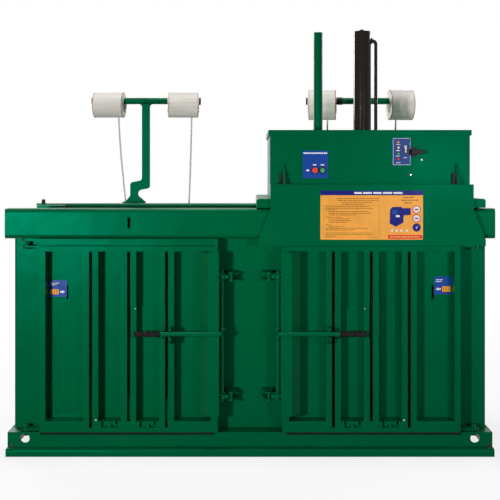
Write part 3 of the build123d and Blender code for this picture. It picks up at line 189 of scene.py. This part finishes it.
paint = finish("machine_green", green, green_dark, 1.3, (0.3, 0.42), ((4, 0.005), (240, 0.0001)), 0.0016,
               Specular_Tint=(*teal, 1), Specular_IOR_Level=0.2)
lever_paint = finish("lever_green", green, green_dark, 9, (0.3, 0.45), ((180, 0.00015),), 0.001,
                     Specular_Tint=(*teal, 1), Specular_IOR_Level=0.3)
steel = finish("zinc_steel", (0.55, 0.55, 0.54), (0.4, 0.4, 0.39), 30, (0.28, 0.48),
               ((400, 0.00008),), 0.0008, Metallic=1.0)
chrome = finish("hard_chrome", (0.62, 0.63, 0.64), (0.5, 0.5, 0.5), 20, (0.08, 0.2),
                ((60, 0.00003),), 0.0006, stretch=(1, 1, 12), Metallic=1.0)
black_paint = finish("cylinder_black", (0.009, 0.005, 0.003), (0.004, 0.002, 0.001), 6, (0.12, 0.2),
                     ((9, 0.0012), (220, 0.00006)), 0.0012, Specular_IOR_Level=0.16)
motor_paint = finish("motor_grey", (0.1, 0.11, 0.12), (0.07, 0.08, 0.09), 12, (0.4, 0.6),
                     ((300, 0.0002),), 0.0015)
black_plastic = finish("moulded_black", (0.008, 0.008, 0.009), (0.004, 0.004, 0.005), 60, (0.3, 0.5),
                       ((900, 0.00006),), 0.0008, Specular_IOR_Level=0.12)
red_plastic = finish("button_red", (0.75, 0.03, 0.02), (0.6, 0.02, 0.015), 60, (0.2, 0.35),
                     ((500, 0.00004),), 0.0008)
green_plastic = finish("button_green", (0.02, 0.33, 0.12), (0.015, 0.26, 0.09), 60, (0.2, 0.35),
                       ((500, 0.00004),), 0.0008)
white_plastic = finish("toggle_white", (0.75, 0.74, 0.7), (0.66, 0.65, 0.6), 60, (0.25, 0.4),
                       ((500, 0.00004),), 0.0005)
rubber = finish("grip_rubber", (0.008, 0.006, 0.007), (0.014, 0.01, 0.012), 45, (0.3, 0.55),
                ((240, 0.0003),), 0.0008, ribs=(30, 0.004), Specular_IOR_Level=0.14)
# Near-black rubber for the lips at the door feet: painted shade that stands in for the shadow in the gap
# under each door
shadow_lip_rubber = finish("shadow_lip_rubber", (0.005, 0.006, 0.006), (0.009, 0.01, 0.01), 30, (0.6, 0.85),
                     ((300, 0.0002),), 0.001, Specular_IOR_Level=0.08)
strap_weave = finish("strap_weave", (0.68, 0.62, 0.55), (0.5, 0.45, 0.38), 120, (0.45, 0.7),
                     ((900, 0.0002),), stretch=(6, 1, 1))
cardboard = finish("cardboard", (0.42, 0.25, 0.12), (0.3, 0.16, 0.07), 40, (0.75, 0.95),
                   ((700, 0.0003),), 0.0005)
screw_steel = finish("screw_steel", (0.5, 0.5, 0.52), (0.4, 0.4, 0.41), 60, (0.2, 0.35),
                     ((400, 0.00004),), 0.0004, Metallic=1.0)
dark_bolt = finish("dark_bolt", (0.02, 0.02, 0.022), (0.035, 0.032, 0.03), 60, (0.35, 0.6),
                   ((400, 0.0001),), 0.0005, Metallic=0.6)


def vinyl(name, colour):
    worn = tuple(c * 0.86 for c in colour)
    return finish(name, colour, worn, 14, (0.3, 0.45), ((40, 0.0002), (700, 0.00003)),
                  Specular_IOR_Level=0.12)


blue = vinyl("print_blue", print_blue)
navy = vinyl("print_navy", print_navy)
violet = vinyl("print_violet", print_violet)
orange = vinyl("print_orange", print_orange)
amber = vinyl("print_amber", print_amber)
pale = vinyl("print_pale", print_pale)
brown = vinyl("print_brown", print_brown)
red = vinyl("print_red", print_red)


def lens(name, colour, glow):
    """Clear coloured plastic with a little light of its own."""
    made = finish(name, colour, tuple(c * 0.8 for c in colour), 80, (0.08, 0.16), ((300, 0.0001),), 0.0006,
                  Coat_Weight=0.6, Coat_Roughness=0.05)
    shader = next(n for n in made.node_tree.nodes if n.type == "BSDF_PRINCIPLED")
    shader.inputs["Emission Color"].default_value = (*colour, 1)
    shader.inputs["Emission Strength"].default_value = glow
    return made


red_lens = lens("lamp_red", (0.8, 0.03, 0.02), 0.25)
green_lens = lens("lamp_green", (0.05, 0.45, 0.12), 0.15)
white_lens = lens("lamp_white", (0.8, 0.74, 0.5), 0.15)


def winding():
    """Wound strap: fine turns that cross a little."""
    made = new_tree("strap_winding")
    tree = made.node_tree
    place = add(tree, "ShaderNodeTexCoord")
    shader = add(tree, "ShaderNodeBsdfPrincipled", {"Roughness": 0.5, "Sheen Weight": 0.2})
    out = add(tree, "ShaderNodeOutputMaterial")
    tree.links.new(shader.outputs["BSDF"], out.inputs["Surface"])
    tone = spread(tree, noise(tree, place, 16, 4, (0.4, 1, 5)), 0, 1)
    colour = two_tone(tree, tone, (0.87, 0.845, 0.805), (0.75, 0.7, 0.64))
    tree.links.new(colour, shader.inputs["Base Color"])
    turns = add(tree, "ShaderNodeTexWave", {"Scale": 62, "Distortion": 1.6, "Detail": 2, "Detail Scale": 3},
                bands_direction="X")
    tree.links.new(place.outputs["Object"], turns.inputs["Vector"])
    normal = bumped(tree, turns.outputs["Fac"], 0.0007)
    normal = bumped(tree, noise(tree, place, 500, 2, (0.3, 1, 1)), 0.0002, normal)
    tree.links.new(normal, shader.inputs["Normal"])
    return made


strap_winding = winding()

slot_materials = {
    "green_paint": paint, "lever_paint": lever_paint, "bright_steel": steel, "polished_rod": chrome,
    "black_paint": black_paint, "motor_grey": motor_paint, "black_plastic": black_plastic,
    "red_plastic": red_plastic, "green_plastic": green_plastic, "white_plastic": white_plastic,
    "black_rubber": rubber, "strap": strap_weave, "strap_winding": strap_winding,
}
for row in frame["record"]["subparts"]:
    node = nodes[row["node"]]
    node.data.materials.clear()
    node.data.materials.append(slot_materials[row["material_slot"]])


# Mesh helpers

def piece(name, bm, materials, body, smooth=35):
    """Turns a bmesh into a piece that rides on a body."""
    bmesh.ops.recalc_face_normals(bm, faces=bm.faces)
    mesh = bpy.data.meshes.new(name)
    bm.to_mesh(mesh)
    bm.free()
    for material in materials:
        mesh.materials.append(material)
    made = bpy.data.objects.new(name, mesh)
    scene.collection.objects.link(made)
    mesh.shade_smooth()
    mesh.set_sharp_from_angle(angle=radians(smooth))
    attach(made, body)
    return made


def loft(bm, rings, material=0):
    """Skins a row of point rings and caps both ends."""
    made = [[bm.verts.new(p) for p in ring] for ring in rings]
    faces = []
    count = len(made[0])
    for near, far in zip(made, made[1:]):
        for i in range(count):
            j = (i + 1) % count
            faces.append(bm.faces.new((near[i], near[j], far[j], far[i])))
    faces.append(bm.faces.new(made[0][::-1]))
    faces.append(bm.faces.new(made[-1]))
    for face in faces:
        face.material_index = material


def around(centre, axis, radius, sides):
    """Points evenly round a centre, square to an axis of length 1."""
    across = axis.orthogonal().normalized()
    other = axis.cross(across)
    turns = [2 * pi * i / sides for i in range(sides)]
    return [centre + (across * cos(turn) + other * sin(turn)) * radius for turn in turns]


def turned(bm, origin, axis, profile, sides=24):
    """A turned form: profile is (distance along the axis, radius) pairs."""
    axis = Vector(axis).normalized()
    loft(bm, [around(Vector(origin) + axis * along, axis, radius, sides) for along, radius in profile])


def collar(bm, face, axis, inner, outer, depth, proud, sides=64):
    """A flat ring round an axis, from a little under a face to a little proud of it."""
    corners = ((-depth, inner), (-depth, outer), (proud, outer), (proud, inner))
    loops = [[bm.verts.new(p) for p in around(face + axis * along, axis, radius, sides)]
             for along, radius in corners]
    for near, far in zip(loops, loops[1:] + loops[:1]):
        for i in range(sides):
            j = (i + 1) % sides
            bm.faces.new((near[i], near[j], far[j], far[i]))


def flat(bm, outline, y, thick, material=0):
    """A front facing plate: outline is (x, z) pairs, its back on y."""
    loft(bm, [[(x, y, z) for x, z in outline], [(x, y - thick, z) for x, z in outline]], material)


def bar(x_low, x_high, z_low, z_high, corner=0.0):
    """Outline of a box, with rounded corners if a radius is given."""
    if not corner:
        return [(x_low, z_low), (x_high, z_low), (x_high, z_high), (x_low, z_high)]
    steps = 4
    outline = []
    for cx, cz, start in ((x_high - corner, z_low + corner, -90), (x_high - corner, z_high - corner, 0),
                          (x_low + corner, z_high - corner, 90), (x_low + corner, z_low + corner, 180)):
        for i in range(steps + 1):
            turn = radians(start + 90 * i / steps)
            outline.append((cx + corner * cos(turn), cz + corner * sin(turn)))
    return outline


def disc(x, z, radius, sides=32):
    turns = [2 * pi * i / sides for i in range(sides)]
    return [(x + radius * cos(turn), z + radius * sin(turn)) for turn in turns]


def arrow(x, z, length, height):
    """A plain arrow with a head at one end, pointing along the sign of length."""
    half, shaft = height / 2, height / 5
    neck = x + length * 0.45
    outline = [(x, z - shaft), (neck, z - shaft), (neck, z - half), (x + length, z),
               (neck, z + half), (neck, z + shaft), (x, z + shaft)]
    return outline if length > 0 else outline[::-1]


def printed(name, body, y, shapes):
    """A label on a front face: shapes are (material, layer, outline), layer 0 the carrier."""
    bm = bmesh.new()
    palette = []
    for material, layer, outline in shapes:
        if material not in palette:
            palette.append(material)
        front = y - label_t - print_t * layer
        back = y - label_t + print_t if layer else y
        flat(bm, outline, back, back - front, palette.index(material))
    return piece(name, bm, palette, body)


def lines(material, x, z, rows, pitch, height, seed, word=(0.006, 0.02), gap=0.0028):
    """Rows of small bars in the place of running text: rows are (indent, length)."""
    pick = Random(seed)
    shortest = 0.002
    shapes = []
    for i, (indent, length) in enumerate(rows):
        start = x + indent
        end = start + length
        low = z - i * pitch
        while start < end:
            stop = min(end, start + pick.uniform(*word))
            if stop - start > shortest:
                shapes.append((material, 2, bar(start, stop, low, low + height)))
            start = stop + gap
    return shapes


def weld(name, runs, body, size):
    """Weld beads: each run is (start, end), the bead ripples along it."""
    bm = bmesh.new()
    pick = Random(len(name))
    ripple = 0.0045
    for start, end in runs:
        start, end = Vector(start), Vector(end)
        along = (end - start).normalized()
        steps = max(4, int((end - start).length / ripple) * 2)
        rings = []
        for i in range(steps + 1):
            radius = size * (0.86 + 0.14 * (i % 2)) * pick.uniform(0.93, 1.05)
            if i in (0, steps):
                radius *= 0.5
            rings.append(around(start.lerp(end, i / steps), along, radius, 7))
        loft(bm, rings)
    return piece(name, bm, [paint], body, 60)


def stitches(start, end, count, length):
    """Short runs spaced evenly along a seam."""
    start, end = Vector(start), Vector(end)
    reach = (end - start).normalized() * length / 2
    middles = [start.lerp(end, (i + 0.5) / count) for i in range(count)]
    return [(middle - reach, middle + reach) for middle in middles]


def hex_bolt(bm, place, axis, size):
    """A washer and a chamfered hexagon head."""
    turned(bm, place, axis, ((0, size * 1.05), (size * 0.18, size * 1.05), (size * 0.18, size * 0.9)))
    turned(bm, Vector(place) + Vector(axis) * size * 0.17, axis,
           ((0, size * 0.9), (size * 0.5, size * 0.9), (size * 0.62, size * 0.74)), 6)


def pan_screw(bm, place, axis, size):
    """A domed head with a dished middle for the driver."""
    dome = ((0, 1), (0.2, 1), (0.45, 0.78), (0.55, 0.45), (0.5, 0.4), (0.3, 0.2))
    turned(bm, place, axis, [(along * size, radius * size) for along, radius in dome], 20)


# Strap tails, read from their smooth lines

def smooth_line(points):
    """The points of a spline through its route, as Blender gives them."""
    curve = bpy.data.curves.new("route", "CURVE")
    curve.dimensions = "3D"
    curve.resolution_u = 24
    spline = curve.splines.new("NURBS")
    spline.points.add(len(points) - 1)
    for point, place in zip(spline.points, points):
        point.co = (*place, 1)
    spline.order_u = 3
    spline.use_endpoint_u = True
    holder = bpy.data.objects.new("route", curve)
    mesh = bpy.data.meshes.new_from_object(holder)
    made = [v.co.copy() for v in mesh.vertices]
    bpy.data.meshes.remove(mesh)
    bpy.data.objects.remove(holder)
    bpy.data.curves.remove(curve)
    return made


def strap(name, route):
    """A flat tail with its width along X and soft edges."""
    path = smooth_line(route)
    bm = bmesh.new()
    rings = []
    side = Vector((1, 0, 0))
    half, thick, round_off = strap_width / 2, strap_t / 2, strap_t * 0.3
    corners = ((-half, -thick + round_off), (-half + round_off, -thick), (half - round_off, -thick),
               (half, -thick + round_off), (half, thick - round_off), (half - round_off, thick),
               (-half + round_off, thick), (-half, thick - round_off))
    for i, point in enumerate(path):
        along = (path[min(i + 1, len(path) - 1)] - path[max(i - 1, 0)]).normalized()
        across = (side - along * side.dot(along)).normalized()
        out = along.cross(across)
        rings.append([point + across * a + out * b for a, b in corners])
    loft(bm, rings)
    made = piece(name + "_band", bm, [strap_weave], "base", 50)
    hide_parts(name)
    return made


for number, (route, length) in enumerate(zip(strap_routes, strap_lengths), 1):
    strap(f"strap_tail_{number}", route)


# Labels on the doors

def level_label(name, body, side, x_in, x_out, z_low, z_high):
    """Blue field with a bale shape beside an arrow that points at the level slot."""
    x_low, x_high = sorted((side * x_in, side * x_out))
    width, height = x_high - x_low, z_high - z_low
    middle = z_low + height * 0.3
    margin = 0.003
    half_band = 0.0012

    def from_inside(part):
        return side * (x_in + width * part)

    bale_low, bale_high = sorted((from_inside(0.47), side * (x_out - margin)))
    bale_half = height * 0.16
    shapes = [(blue, 0, bar(x_low, x_high, z_low, z_high, small_corner)),
              (amber, 1, bar(bale_low, bale_high, middle - bale_half, middle + bale_half, small_corner)),
              (pale, 1, arrow(from_inside(0.4), middle, -side * width * 0.3, height * 0.2))]
    for part in (0.58, 0.71, 0.84):
        band = from_inside(part)
        shapes.append((brown, 2, bar(band - half_band, band + half_band,
                                     middle - height * 0.13, middle + height * 0.13)))
    shapes += lines(pale, x_low + width * 0.08, z_high - height * 0.2, ((0, width * 0.5), (0, width * 0.36)),
                    height * 0.1, height * 0.045, 5)
    return printed(name, body, sheet_y, shapes)


level_label("right_level_label", "right_door", 1, 0.8385, 0.9145, 0.713, 0.794)
level_label("left_level_label", "left_door", -1, 0.834, 0.9145, 0.702, 0.778)

# Placard on the hood: its box, and places on it as shares of its width and height
sign_left, sign_right, sign_low, sign_high = 0.3135, 0.7705, 0.969, 1.188
sign_width, sign_height = sign_right - sign_left, sign_high - sign_low


def sx(part):
    return sign_left + sign_width * part


def sz(part):
    return sign_low + sign_height * part


# Header with a row of bars
shapes = [(orange, 0, bar(sign_left, sign_right, sign_low, sign_high, large_corner)),
          (navy, 1, bar(sign_left, sign_right, sz(0.905), sign_high, large_corner))]
header_row = ((0, sign_width * 0.47),)
shapes += lines(pale, sx(0.33), sz(0.932), header_row, 0.01, 0.0085, 3, (0.028, 0.05), 0.006)

# Text fields: two heads, and a box with six groups of rows
top_rows = ((0, 0.19), (0.006, 0.18), (0.02, 0.14), (0.024, 0.1))
shapes += lines(brown, sx(0.16), sz(0.83), top_rows, 0.0085, 0.003, 11)
side_rows = ((0.01, 0.045), (0, 0.075), (0.014, 0.03))
shapes += lines(brown, sx(0.79), sz(0.85), side_rows, 0.012, 0.004, 12, (0.012, 0.03))
box_left, box_right, box_low, box_high = sx(0.03), sx(0.575), sz(0.045), sz(0.7)
box_line = 0.0007
for edge in (bar(box_left, box_right, box_low, box_low + box_line),
             bar(box_left, box_right, box_high, box_high + box_line),
             bar(box_left, box_left + box_line, box_low, box_high),
             bar(box_right, box_right + box_line, box_low, box_high)):
    shapes.append((brown, 1, edge))
groups = ((0.665, ((0, 0.2), (0, 0.21))),
          (0.6, ((0, 0.05), (0.014, 0.18), (0.014, 0.19), (0.014, 0.12))),
          (0.45, ((0, 0.07), (0.014, 0.09), (0.014, 0.1), (0.014, 0.08))),
          (0.29, ((0, 0.03), (0.014, 0.07))),
          (0.225, ((0, 0.19), (0, 0.13))),
          (0.13, ((0, 0.2), (0, 0.21), (0, 0.05))))
for number, (height, rows) in enumerate(groups):
    shapes += lines(brown, sx(0.05), sz(height), rows, 0.0075, 0.0028, 20 + number)

# Sketch of a plain machine over a row of dots
machine = ((0.675, 0.33), (0.735, 0.265), (0.81, 0.35), (0.812, 0.5), (0.88, 0.505), (0.88, 0.645),
           (0.8, 0.64), (0.79, 0.67), (0.7, 0.665), (0.68, 0.61))
shapes.append((navy, 1, [(sx(a), sz(b)) for a, b in machine]))
shapes.append((pale, 2, bar(sx(0.735), sx(0.775), sz(0.46), sz(0.5), large_corner)))
shapes.append((blue, 2, bar(sx(0.7), sx(0.75), sz(0.52), sz(0.6), small_corner)))
for part in (0.7, 0.745, 0.79, 0.845):
    shapes.append((pale, 1, disc(sx(part), sz(0.185), 0.0052)))

# Three discs at the right side, and a band along the foot
disc_x = sx(0.938)
disc_outer, disc_inner = 0.0185, 0.0145
for disc_z in (sz(0.615), sz(0.435)):
    shapes.append((red, 1, disc(disc_x, disc_z, disc_outer)))
    shapes.append((pale, 2, disc(disc_x, disc_z, disc_inner)))
    shapes.append((brown, 3, bar(sx(0.92), sx(0.956), disc_z - 0.004, disc_z + 0.003, small_corner)))
shapes.append((navy, 1, disc(disc_x, sz(0.25), disc_outer)))
flick = ((0.93, 0.27), (0.935, 0.215), (0.955, 0.3), (0.938, 0.25))
shapes.append((pale, 2, [(sx(a), sz(b)) for a, b in flick]))
shapes.append((red, 1, bar(sx(0.66), sx(0.995), sz(0.02), sz(0.1))))
shapes += lines(orange, sx(0.68), sz(0.045), ((0, 0.13),), 0.01, 0.006, 31, (0.01, 0.03))
printed("hood_placard", "head", hood_y, shapes)

# Button panel on the cabinet: a pale head cut by thin lines, two short rows over the buttons, an arrow
head_low, head_high = 1.3525, 1.3595
shapes = [(blue, 0, bar(0.2385, 0.3535, 1.242, 1.367, large_corner)),
          (pale, 1, bar(0.2425, 0.3495, head_low, head_high))]
for cut in range(12):
    shapes.append((blue, 2, bar(0.2475 + 0.0085 * cut, 0.249 + 0.0085 * cut, head_low, head_high)))
for row_x, row_length, seed in ((0.285, 0.017, 41), (0.321, 0.015, 42)):
    shapes += lines(pale, row_x, 1.3, ((0, row_length),), 0.01, 0.006, seed, (0.006, 0.009), 0.0015)
shapes.append((pale, 1, arrow(0.254, 1.278, 0.017, 0.012)))
printed("button_panel", "head", cabinet_y, shapes)

# Lamp panel: a thin pale frame, a row over or under each lamp and the toggle, an amber mark
frame_left, frame_right, frame_low, frame_high = 0.6485, 0.727, 1.3025, 1.4235
frame_line = 0.0015
shapes = [(violet, 0, bar(0.646, 0.7295, 1.3, 1.426, large_corner))]
for edge in (bar(frame_left, frame_right, frame_low, frame_low + frame_line),
             bar(frame_left, frame_right, frame_high - frame_line, frame_high),
             bar(frame_left, frame_left + frame_line, frame_low + frame_line, frame_high - frame_line),
             bar(frame_right - frame_line, frame_right, frame_low + frame_line, frame_high - frame_line)):
    shapes.append((pale, 1, edge))
lamp_x, toggle_x = 0.6725, 0.697
for height in (1.3105, 1.341, 1.366, 1.3935):
    seed = int(height * 1000)
    shapes += lines(pale, lamp_x - 0.0095, height, ((0, 0.019),), 0.01, 0.0035, seed, (0.005, 0.01), 0.0015)
shapes.append((amber, 1, [(lamp_x - 0.007, 1.402), (lamp_x + 0.007, 1.402), (lamp_x, 1.414)]))
for height, seed in ((1.386, 44), (1.334, 45)):
    shapes += lines(pale, toggle_x, height, ((0, 0.016),), 0.01, 0.004, seed, (0.005, 0.008), 0.0015)
printed("lamp_panel", "head", cabinet_y, shapes)

# Lamp lenses in the panel
lens_base = 0.0075
lens_profile = ((0, 0.0052), (0.0022, 0.0052), (0.0036, 0.0044), (0.0044, 0.0026), (0.0046, 0.0004))
for name, height, material in (("red", 1.329, red_lens), ("green", 1.353, green_lens),
                               ("white", 1.381, white_lens)):
    bm = bmesh.new()
    turned(bm, (lamp_x, cabinet_y - lens_base, height), forward, lens_profile)
    piece(f"{name}_lamp_lens", bm, [material], "head")

# Screws on the cabinet, bolts in the base's web
bm = bmesh.new()
for x, z in ((0.779, 1.326), (0.729, 1.257)):
    pan_screw(bm, (x, cabinet_y, z), forward, 0.0058)
piece("cabinet_screws", bm, [screw_steel], "head")
web_bolt_x, web_y, web_bolt_z = 1.0715, -0.35, 0.0415
bm = bmesh.new()
for x in (-web_bolt_x, web_bolt_x):
    hex_bolt(bm, (x, web_y, web_bolt_z), forward, 0.0075)
piece("web_bolts", bm, [dark_bolt], "base")

# Screws on each door, and the screw that holds each lever in its hub
lock_x, lock_y, hub_reach, lever_z = 0.126, -0.365, 0.017, 0.5685
screw_step = 0.013
hub_screw = ((-0.002, 0.0042), (0.001, 0.0042), (0.0018, 0.0034), (0.0018, 0.0018), (0.0002, 0.0016))
for name, side in (("left", -1), ("right", 1)):
    bm = bmesh.new()
    pan_screw(bm, (side * 0.6905, door_y, 0.1585), forward, 0.0042)
    pan_screw(bm, (side * 0.5155, door_y + screw_step, 0.6565), forward, 0.0036)
    piece(f"{name}_door_screws", bm, [steel], f"{name}_door")
    bm = bmesh.new()
    turned(bm, (side * lock_x, lock_y - hub_reach, lever_z), forward, hub_screw, 6)
    piece(f"{name}_hub_screw", bm, [dark_bolt], f"{name}_lock")

# Buffers on the end stops of the rear rail
stop_x, stop_y = 1.0715, 0.34
buffer = ((0, 0.0112), (0.004, 0.0112), (0.005, 0.0095), (0.014, 0.0102), (0.0185, 0.0095), (0.021, 0.006),
          (0.0215, 0.001))
bm = bmesh.new()
for x in (-stop_x, stop_x):
    turned(bm, (x, stop_y, rail_top), (0, 0, 1), buffer, 28)
piece("stop_buffers", bm, [rubber], "base")

# Dark rubber lips along the foot of each door, in front of the base, put where the gap under the door shows
# as a line of shadow: painted shade. Their section in Y and Z, and their ends
lip_section = ((-0.3515, 0.1042), (-0.3685, 0.1042), (-0.3685, 0.098), (-0.3665, 0.0925), (-0.362, 0.0915),
               (-0.3575, 0.093), (-0.3565, 0.0985), (-0.3515, 0.1))
lip_stations = (0.166, 0.55, 0.943)
for name, side in (("left", -1), ("right", 1)):
    bm = bmesh.new()
    loft(bm, [[(side * x, y, z) for y, z in lip_section] for x in lip_stations])
    piece(f"{name}_door_shadow_lip", bm, [shadow_lip_rubber], f"{name}_door", 50)

# Welds up both sides of the cabinet's two gussets
gusset_low, gusset_high, gusset_half = 1.217, 1.306, 0.0052
gusset_weld_y = cabinet_y - 0.0005
runs = []
for gusset in (0.154, 0.934):
    for x in (gusset - gusset_half, gusset + gusset_half):
        runs.append(((x, gusset_weld_y, gusset_low), (x, gusset_weld_y, gusset_high)))
weld("gusset_welds", runs, "head", 0.0026)

# Welds round the feet of the reel stands, and down their plates behind the rear rail
stand_foot_z = 1.112
foot_left, foot_right = 0.046, 0.059
plate_half, plate_y, plate_low, plate_high = 0.0605, 0.3912, 1.013, 1.096
runs = []
for foot in (-0.611, 0.523):
    for y in (0.4235, 0.4365):
        runs.append(((foot - foot_left, y, stand_foot_z), (foot + foot_right, y, stand_foot_z)))
    for x in (foot - plate_half, foot + plate_half):
        runs.append(((x, plate_y, plate_high), (x, plate_y, plate_low)))
weld("stand_welds", runs, "base", 0.0028)

# Welds over and under each keeper of the locks
keeper_in, keeper_out, keeper_y, keeper_half = 0.0555, 0.1125, -0.2635, 0.0205
runs = []
for side in (-1, 1):
    for height in (0.265, 0.801):
        for z in (height + keeper_half, height - keeper_half):
            runs.append(((side * keeper_in, keeper_y, z), (side * keeper_out, keeper_y, z)))
weld("keeper_welds", runs, "base", 0.0024)

# Body seams behind and at the sides: the floor's ends, the rear posts, the rib pairs and the side ribs
floor_end, floor_weld_z, floor_top, wall_top = 1.0823, 0.1008, 0.106, 0.965
body_front, body_back = -0.262, 0.29
post_seam, side_face = 0.937, 0.984
pair_reach, rib_half = 0.034, 0.03
rib_front, rib_back = -0.182, 0.21
runs = []
for side in (-1, 1):
    runs.append(((side * floor_end, body_front, floor_weld_z), (side * floor_end, body_back, floor_weld_z)))
    seam = side * post_seam
    runs += stitches((seam, body_back, floor_top), (seam, body_back, wall_top), 6, 0.05)
    for slit in (0.374, 0.544, 0.714):
        for x in (slit - pair_reach, slit + pair_reach):
            runs += stitches((side * x, body_back, floor_top), (side * x, body_back, wall_top), 5, 0.035)
    for rib in (0.3208, 0.5355, 0.7503):
        for z in (rib - rib_half, rib + rib_half):
            runs += stitches((side * side_face, rib_front, z), (side * side_face, rib_back, z), 3, 0.035)
weld("body_welds", runs, "base", 0.0036)

# One long bead that closes the top of the rear wall
wall_end, wall_weld_y, wall_weld_z = 0.94, body_back + 0.003, 0.9685
wall_run = ((-wall_end, wall_weld_y, wall_weld_z), (wall_end, wall_weld_y, wall_weld_z))
weld("wall_top_weld", [wall_run], "base", 0.0068)

# Cardboard ends of the reels: the stands' posts, the arms' sweep and how far out the reels end
reel_axis_z = 1.6223
stand_y = 0.43
reel_sweep = radians(5)
reel_end = 0.276
core_radius = 0.0425
face_inset, sunk, proud = 0.003, 0.0022, 0.0006
for name, post, side, radius, width in (("left_outer_reel", -0.549, -1, 0.066, 0.16),
                                        ("left_inner_reel", -0.549, 1, 0.066, 0.16),
                                        ("right_inner_reel", 0.585, -1, 0.079, 0.146),
                                        ("right_outer_reel", 0.585, 1, 0.079, 0.126)):
    along = Vector((side * cos(reel_sweep), sin(reel_sweep), 0))
    centre = Vector((post, stand_y, reel_axis_z)) + along * (reel_end - width / 2)
    bm = bmesh.new()
    for end in (-1, 1):
        face = centre + along * end * (width / 2 - face_inset)
        collar(bm, face, along * end, core_radius, radius + 0.0007, sunk, proud)
    piece(f"{name}_ends", bm, [cardboard], name, 40)


# Light: a small lamp low on the left, a weaker one on the right, soft ones above and behind

def aimed(light, place, aim, colour):
    light.color = colour
    holder = bpy.data.objects.new(light.name, light)
    holder.location = place
    holder.rotation_euler = (Vector(aim) - Vector(place)).to_track_quat("-Z", "Y").to_euler()
    scene.collection.objects.link(holder)


def spot(name, place, aim, size, cone, power, colour=(1, 1, 1)):
    """A reflector lamp whose beam fades towards its edge."""
    light = bpy.data.lights.new(name, "SPOT")
    light.shadow_soft_size = size
    light.spot_size = radians(cone)
    light.spot_blend = 1.0
    light.energy = power
    aimed(light, place, aim, colour)


def lamp(name, place, aim, size, power, colour=(1, 1, 1)):
    """A round soft lamp."""
    light = bpy.data.lights.new(name, "AREA")
    light.shape = "DISK"
    light.size = size
    light.energy = power
    aimed(light, place, aim, colour)


spot("key_lamp", (-1.85, -4.5, 1.12), (0, -0.35, 0.85), size=0.17, cone=88, power=620,
     colour=(1, 0.985, 0.96))
spot("side_lamp", (1.8, -4.5, 1.25), (1.0, -0.35, 0.75), size=0.22, cone=52, power=205,
     colour=(0.97, 0.99, 1))
lamp("top_lamp", (-0.3, 0.2, 8.0), (-0.3, 0.1, 0), size=2.0, power=300)
lamp("back_left_lamp", (-3.4, 4.6, 2.6), (0, 0, 0.8), size=1.6, power=170)
lamp("back_right_lamp", (4.6, 3.2, 2.2), (0, 0, 0.8), size=1.6, power=110)


# World and floor: white where the camera or a reflection looks, a soft level elsewhere

def seen_rays(tree):
    """1 for camera, glossy and transmission rays."""
    path = add(tree, "ShaderNodeLightPath")
    first = add(tree, "ShaderNodeMath", operation="MAXIMUM")
    both = add(tree, "ShaderNodeMath", operation="MAXIMUM")
    tree.links.new(path.outputs["Is Camera Ray"], first.inputs[0])
    tree.links.new(path.outputs["Is Glossy Ray"], first.inputs[1])
    tree.links.new(first.outputs[0], both.inputs[0])
    tree.links.new(path.outputs["Is Transmission Ray"], both.inputs[1])
    return both.outputs[0]


def mix(tree, share, first, second):
    """One shader by a share, from the first at 0 to the second at 1."""
    made = add(tree, "ShaderNodeMixShader")
    tree.links.new(share, made.inputs["Fac"])
    tree.links.new(first, made.inputs[1])
    tree.links.new(second, made.inputs[2])
    return made.outputs["Shader"]


def studio_world():
    made = bpy.data.worlds.new("studio")
    scene.world = made
    made.use_nodes = True
    tree = made.node_tree
    tree.nodes.clear()
    soft = add(tree, "ShaderNodeBackground", {"Color": (0.9, 0.96, 1, 1), "Strength": 0.02})
    white = add(tree, "ShaderNodeBackground", {"Color": (1, 1, 1, 1), "Strength": 1.0})
    out = add(tree, "ShaderNodeOutputWorld")
    sky = mix(tree, seen_rays(tree), soft.outputs["Background"], white.outputs["Background"])
    tree.links.new(sky, out.inputs["Surface"])


def floor_finish():
    """Lit and shadowed near the machine, plain white far from it, dull for every other ray."""
    shadow_near, shadow_far = 2.4, 5.0
    made = new_tree("floor_finish")
    tree = made.node_tree
    place = add(tree, "ShaderNodeTexCoord")
    tone = spread(tree, noise(tree, place, 3, 3), 0, 1)
    matt = add(tree, "ShaderNodeBsdfDiffuse")
    tree.links.new(two_tone(tree, tone, (0.86, 0.86, 0.86), (0.83, 0.83, 0.83)), matt.inputs["Color"])
    dull = add(tree, "ShaderNodeBsdfDiffuse", {"Color": (0.08, 0.08, 0.08, 1)})
    glow = add(tree, "ShaderNodeEmission", {"Color": (1, 1, 1, 1), "Strength": 1.0})
    reach = add(tree, "ShaderNodeVectorMath", operation="LENGTH")
    tree.links.new(place.outputs["Object"], reach.inputs[0])
    clear = spread(tree, reach.outputs["Value"], 0.82, 1.0, shadow_near, shadow_far)
    lit = mix(tree, clear, matt.outputs["BSDF"], glow.outputs["Emission"])
    out = add(tree, "ShaderNodeOutputMaterial")
    tree.links.new(mix(tree, seen_rays(tree), dull.outputs["BSDF"], lit), out.inputs["Surface"])
    return made


studio_world()
floor_reach = 400
floor_corners = [(-floor_reach, -floor_reach, 0), (floor_reach, -floor_reach, 0),
                 (floor_reach, floor_reach, 0), (-floor_reach, floor_reach, 0)]
floor_mesh = bpy.data.meshes.new("floor")
floor_mesh.from_pydata(floor_corners, [], [(0, 1, 2, 3)])
floor_mesh.materials.append(floor_finish())
floor = bpy.data.objects.new("floor", floor_mesh)
scene.collection.objects.link(floor)

# Camera
lens_data = bpy.data.cameras.new("camera")
lens_data.lens = camera_lens
lens_data.sensor_width = 36
lens_data.shift_y = camera_shift
camera = bpy.data.objects.new("camera", lens_data)
camera.location = (0, -camera_distance, camera_height)
camera.rotation_euler = (radians(90), 0, 0)
scene.collection.objects.link(camera)
scene.camera = camera

scene.view_settings.view_transform = "Standard"
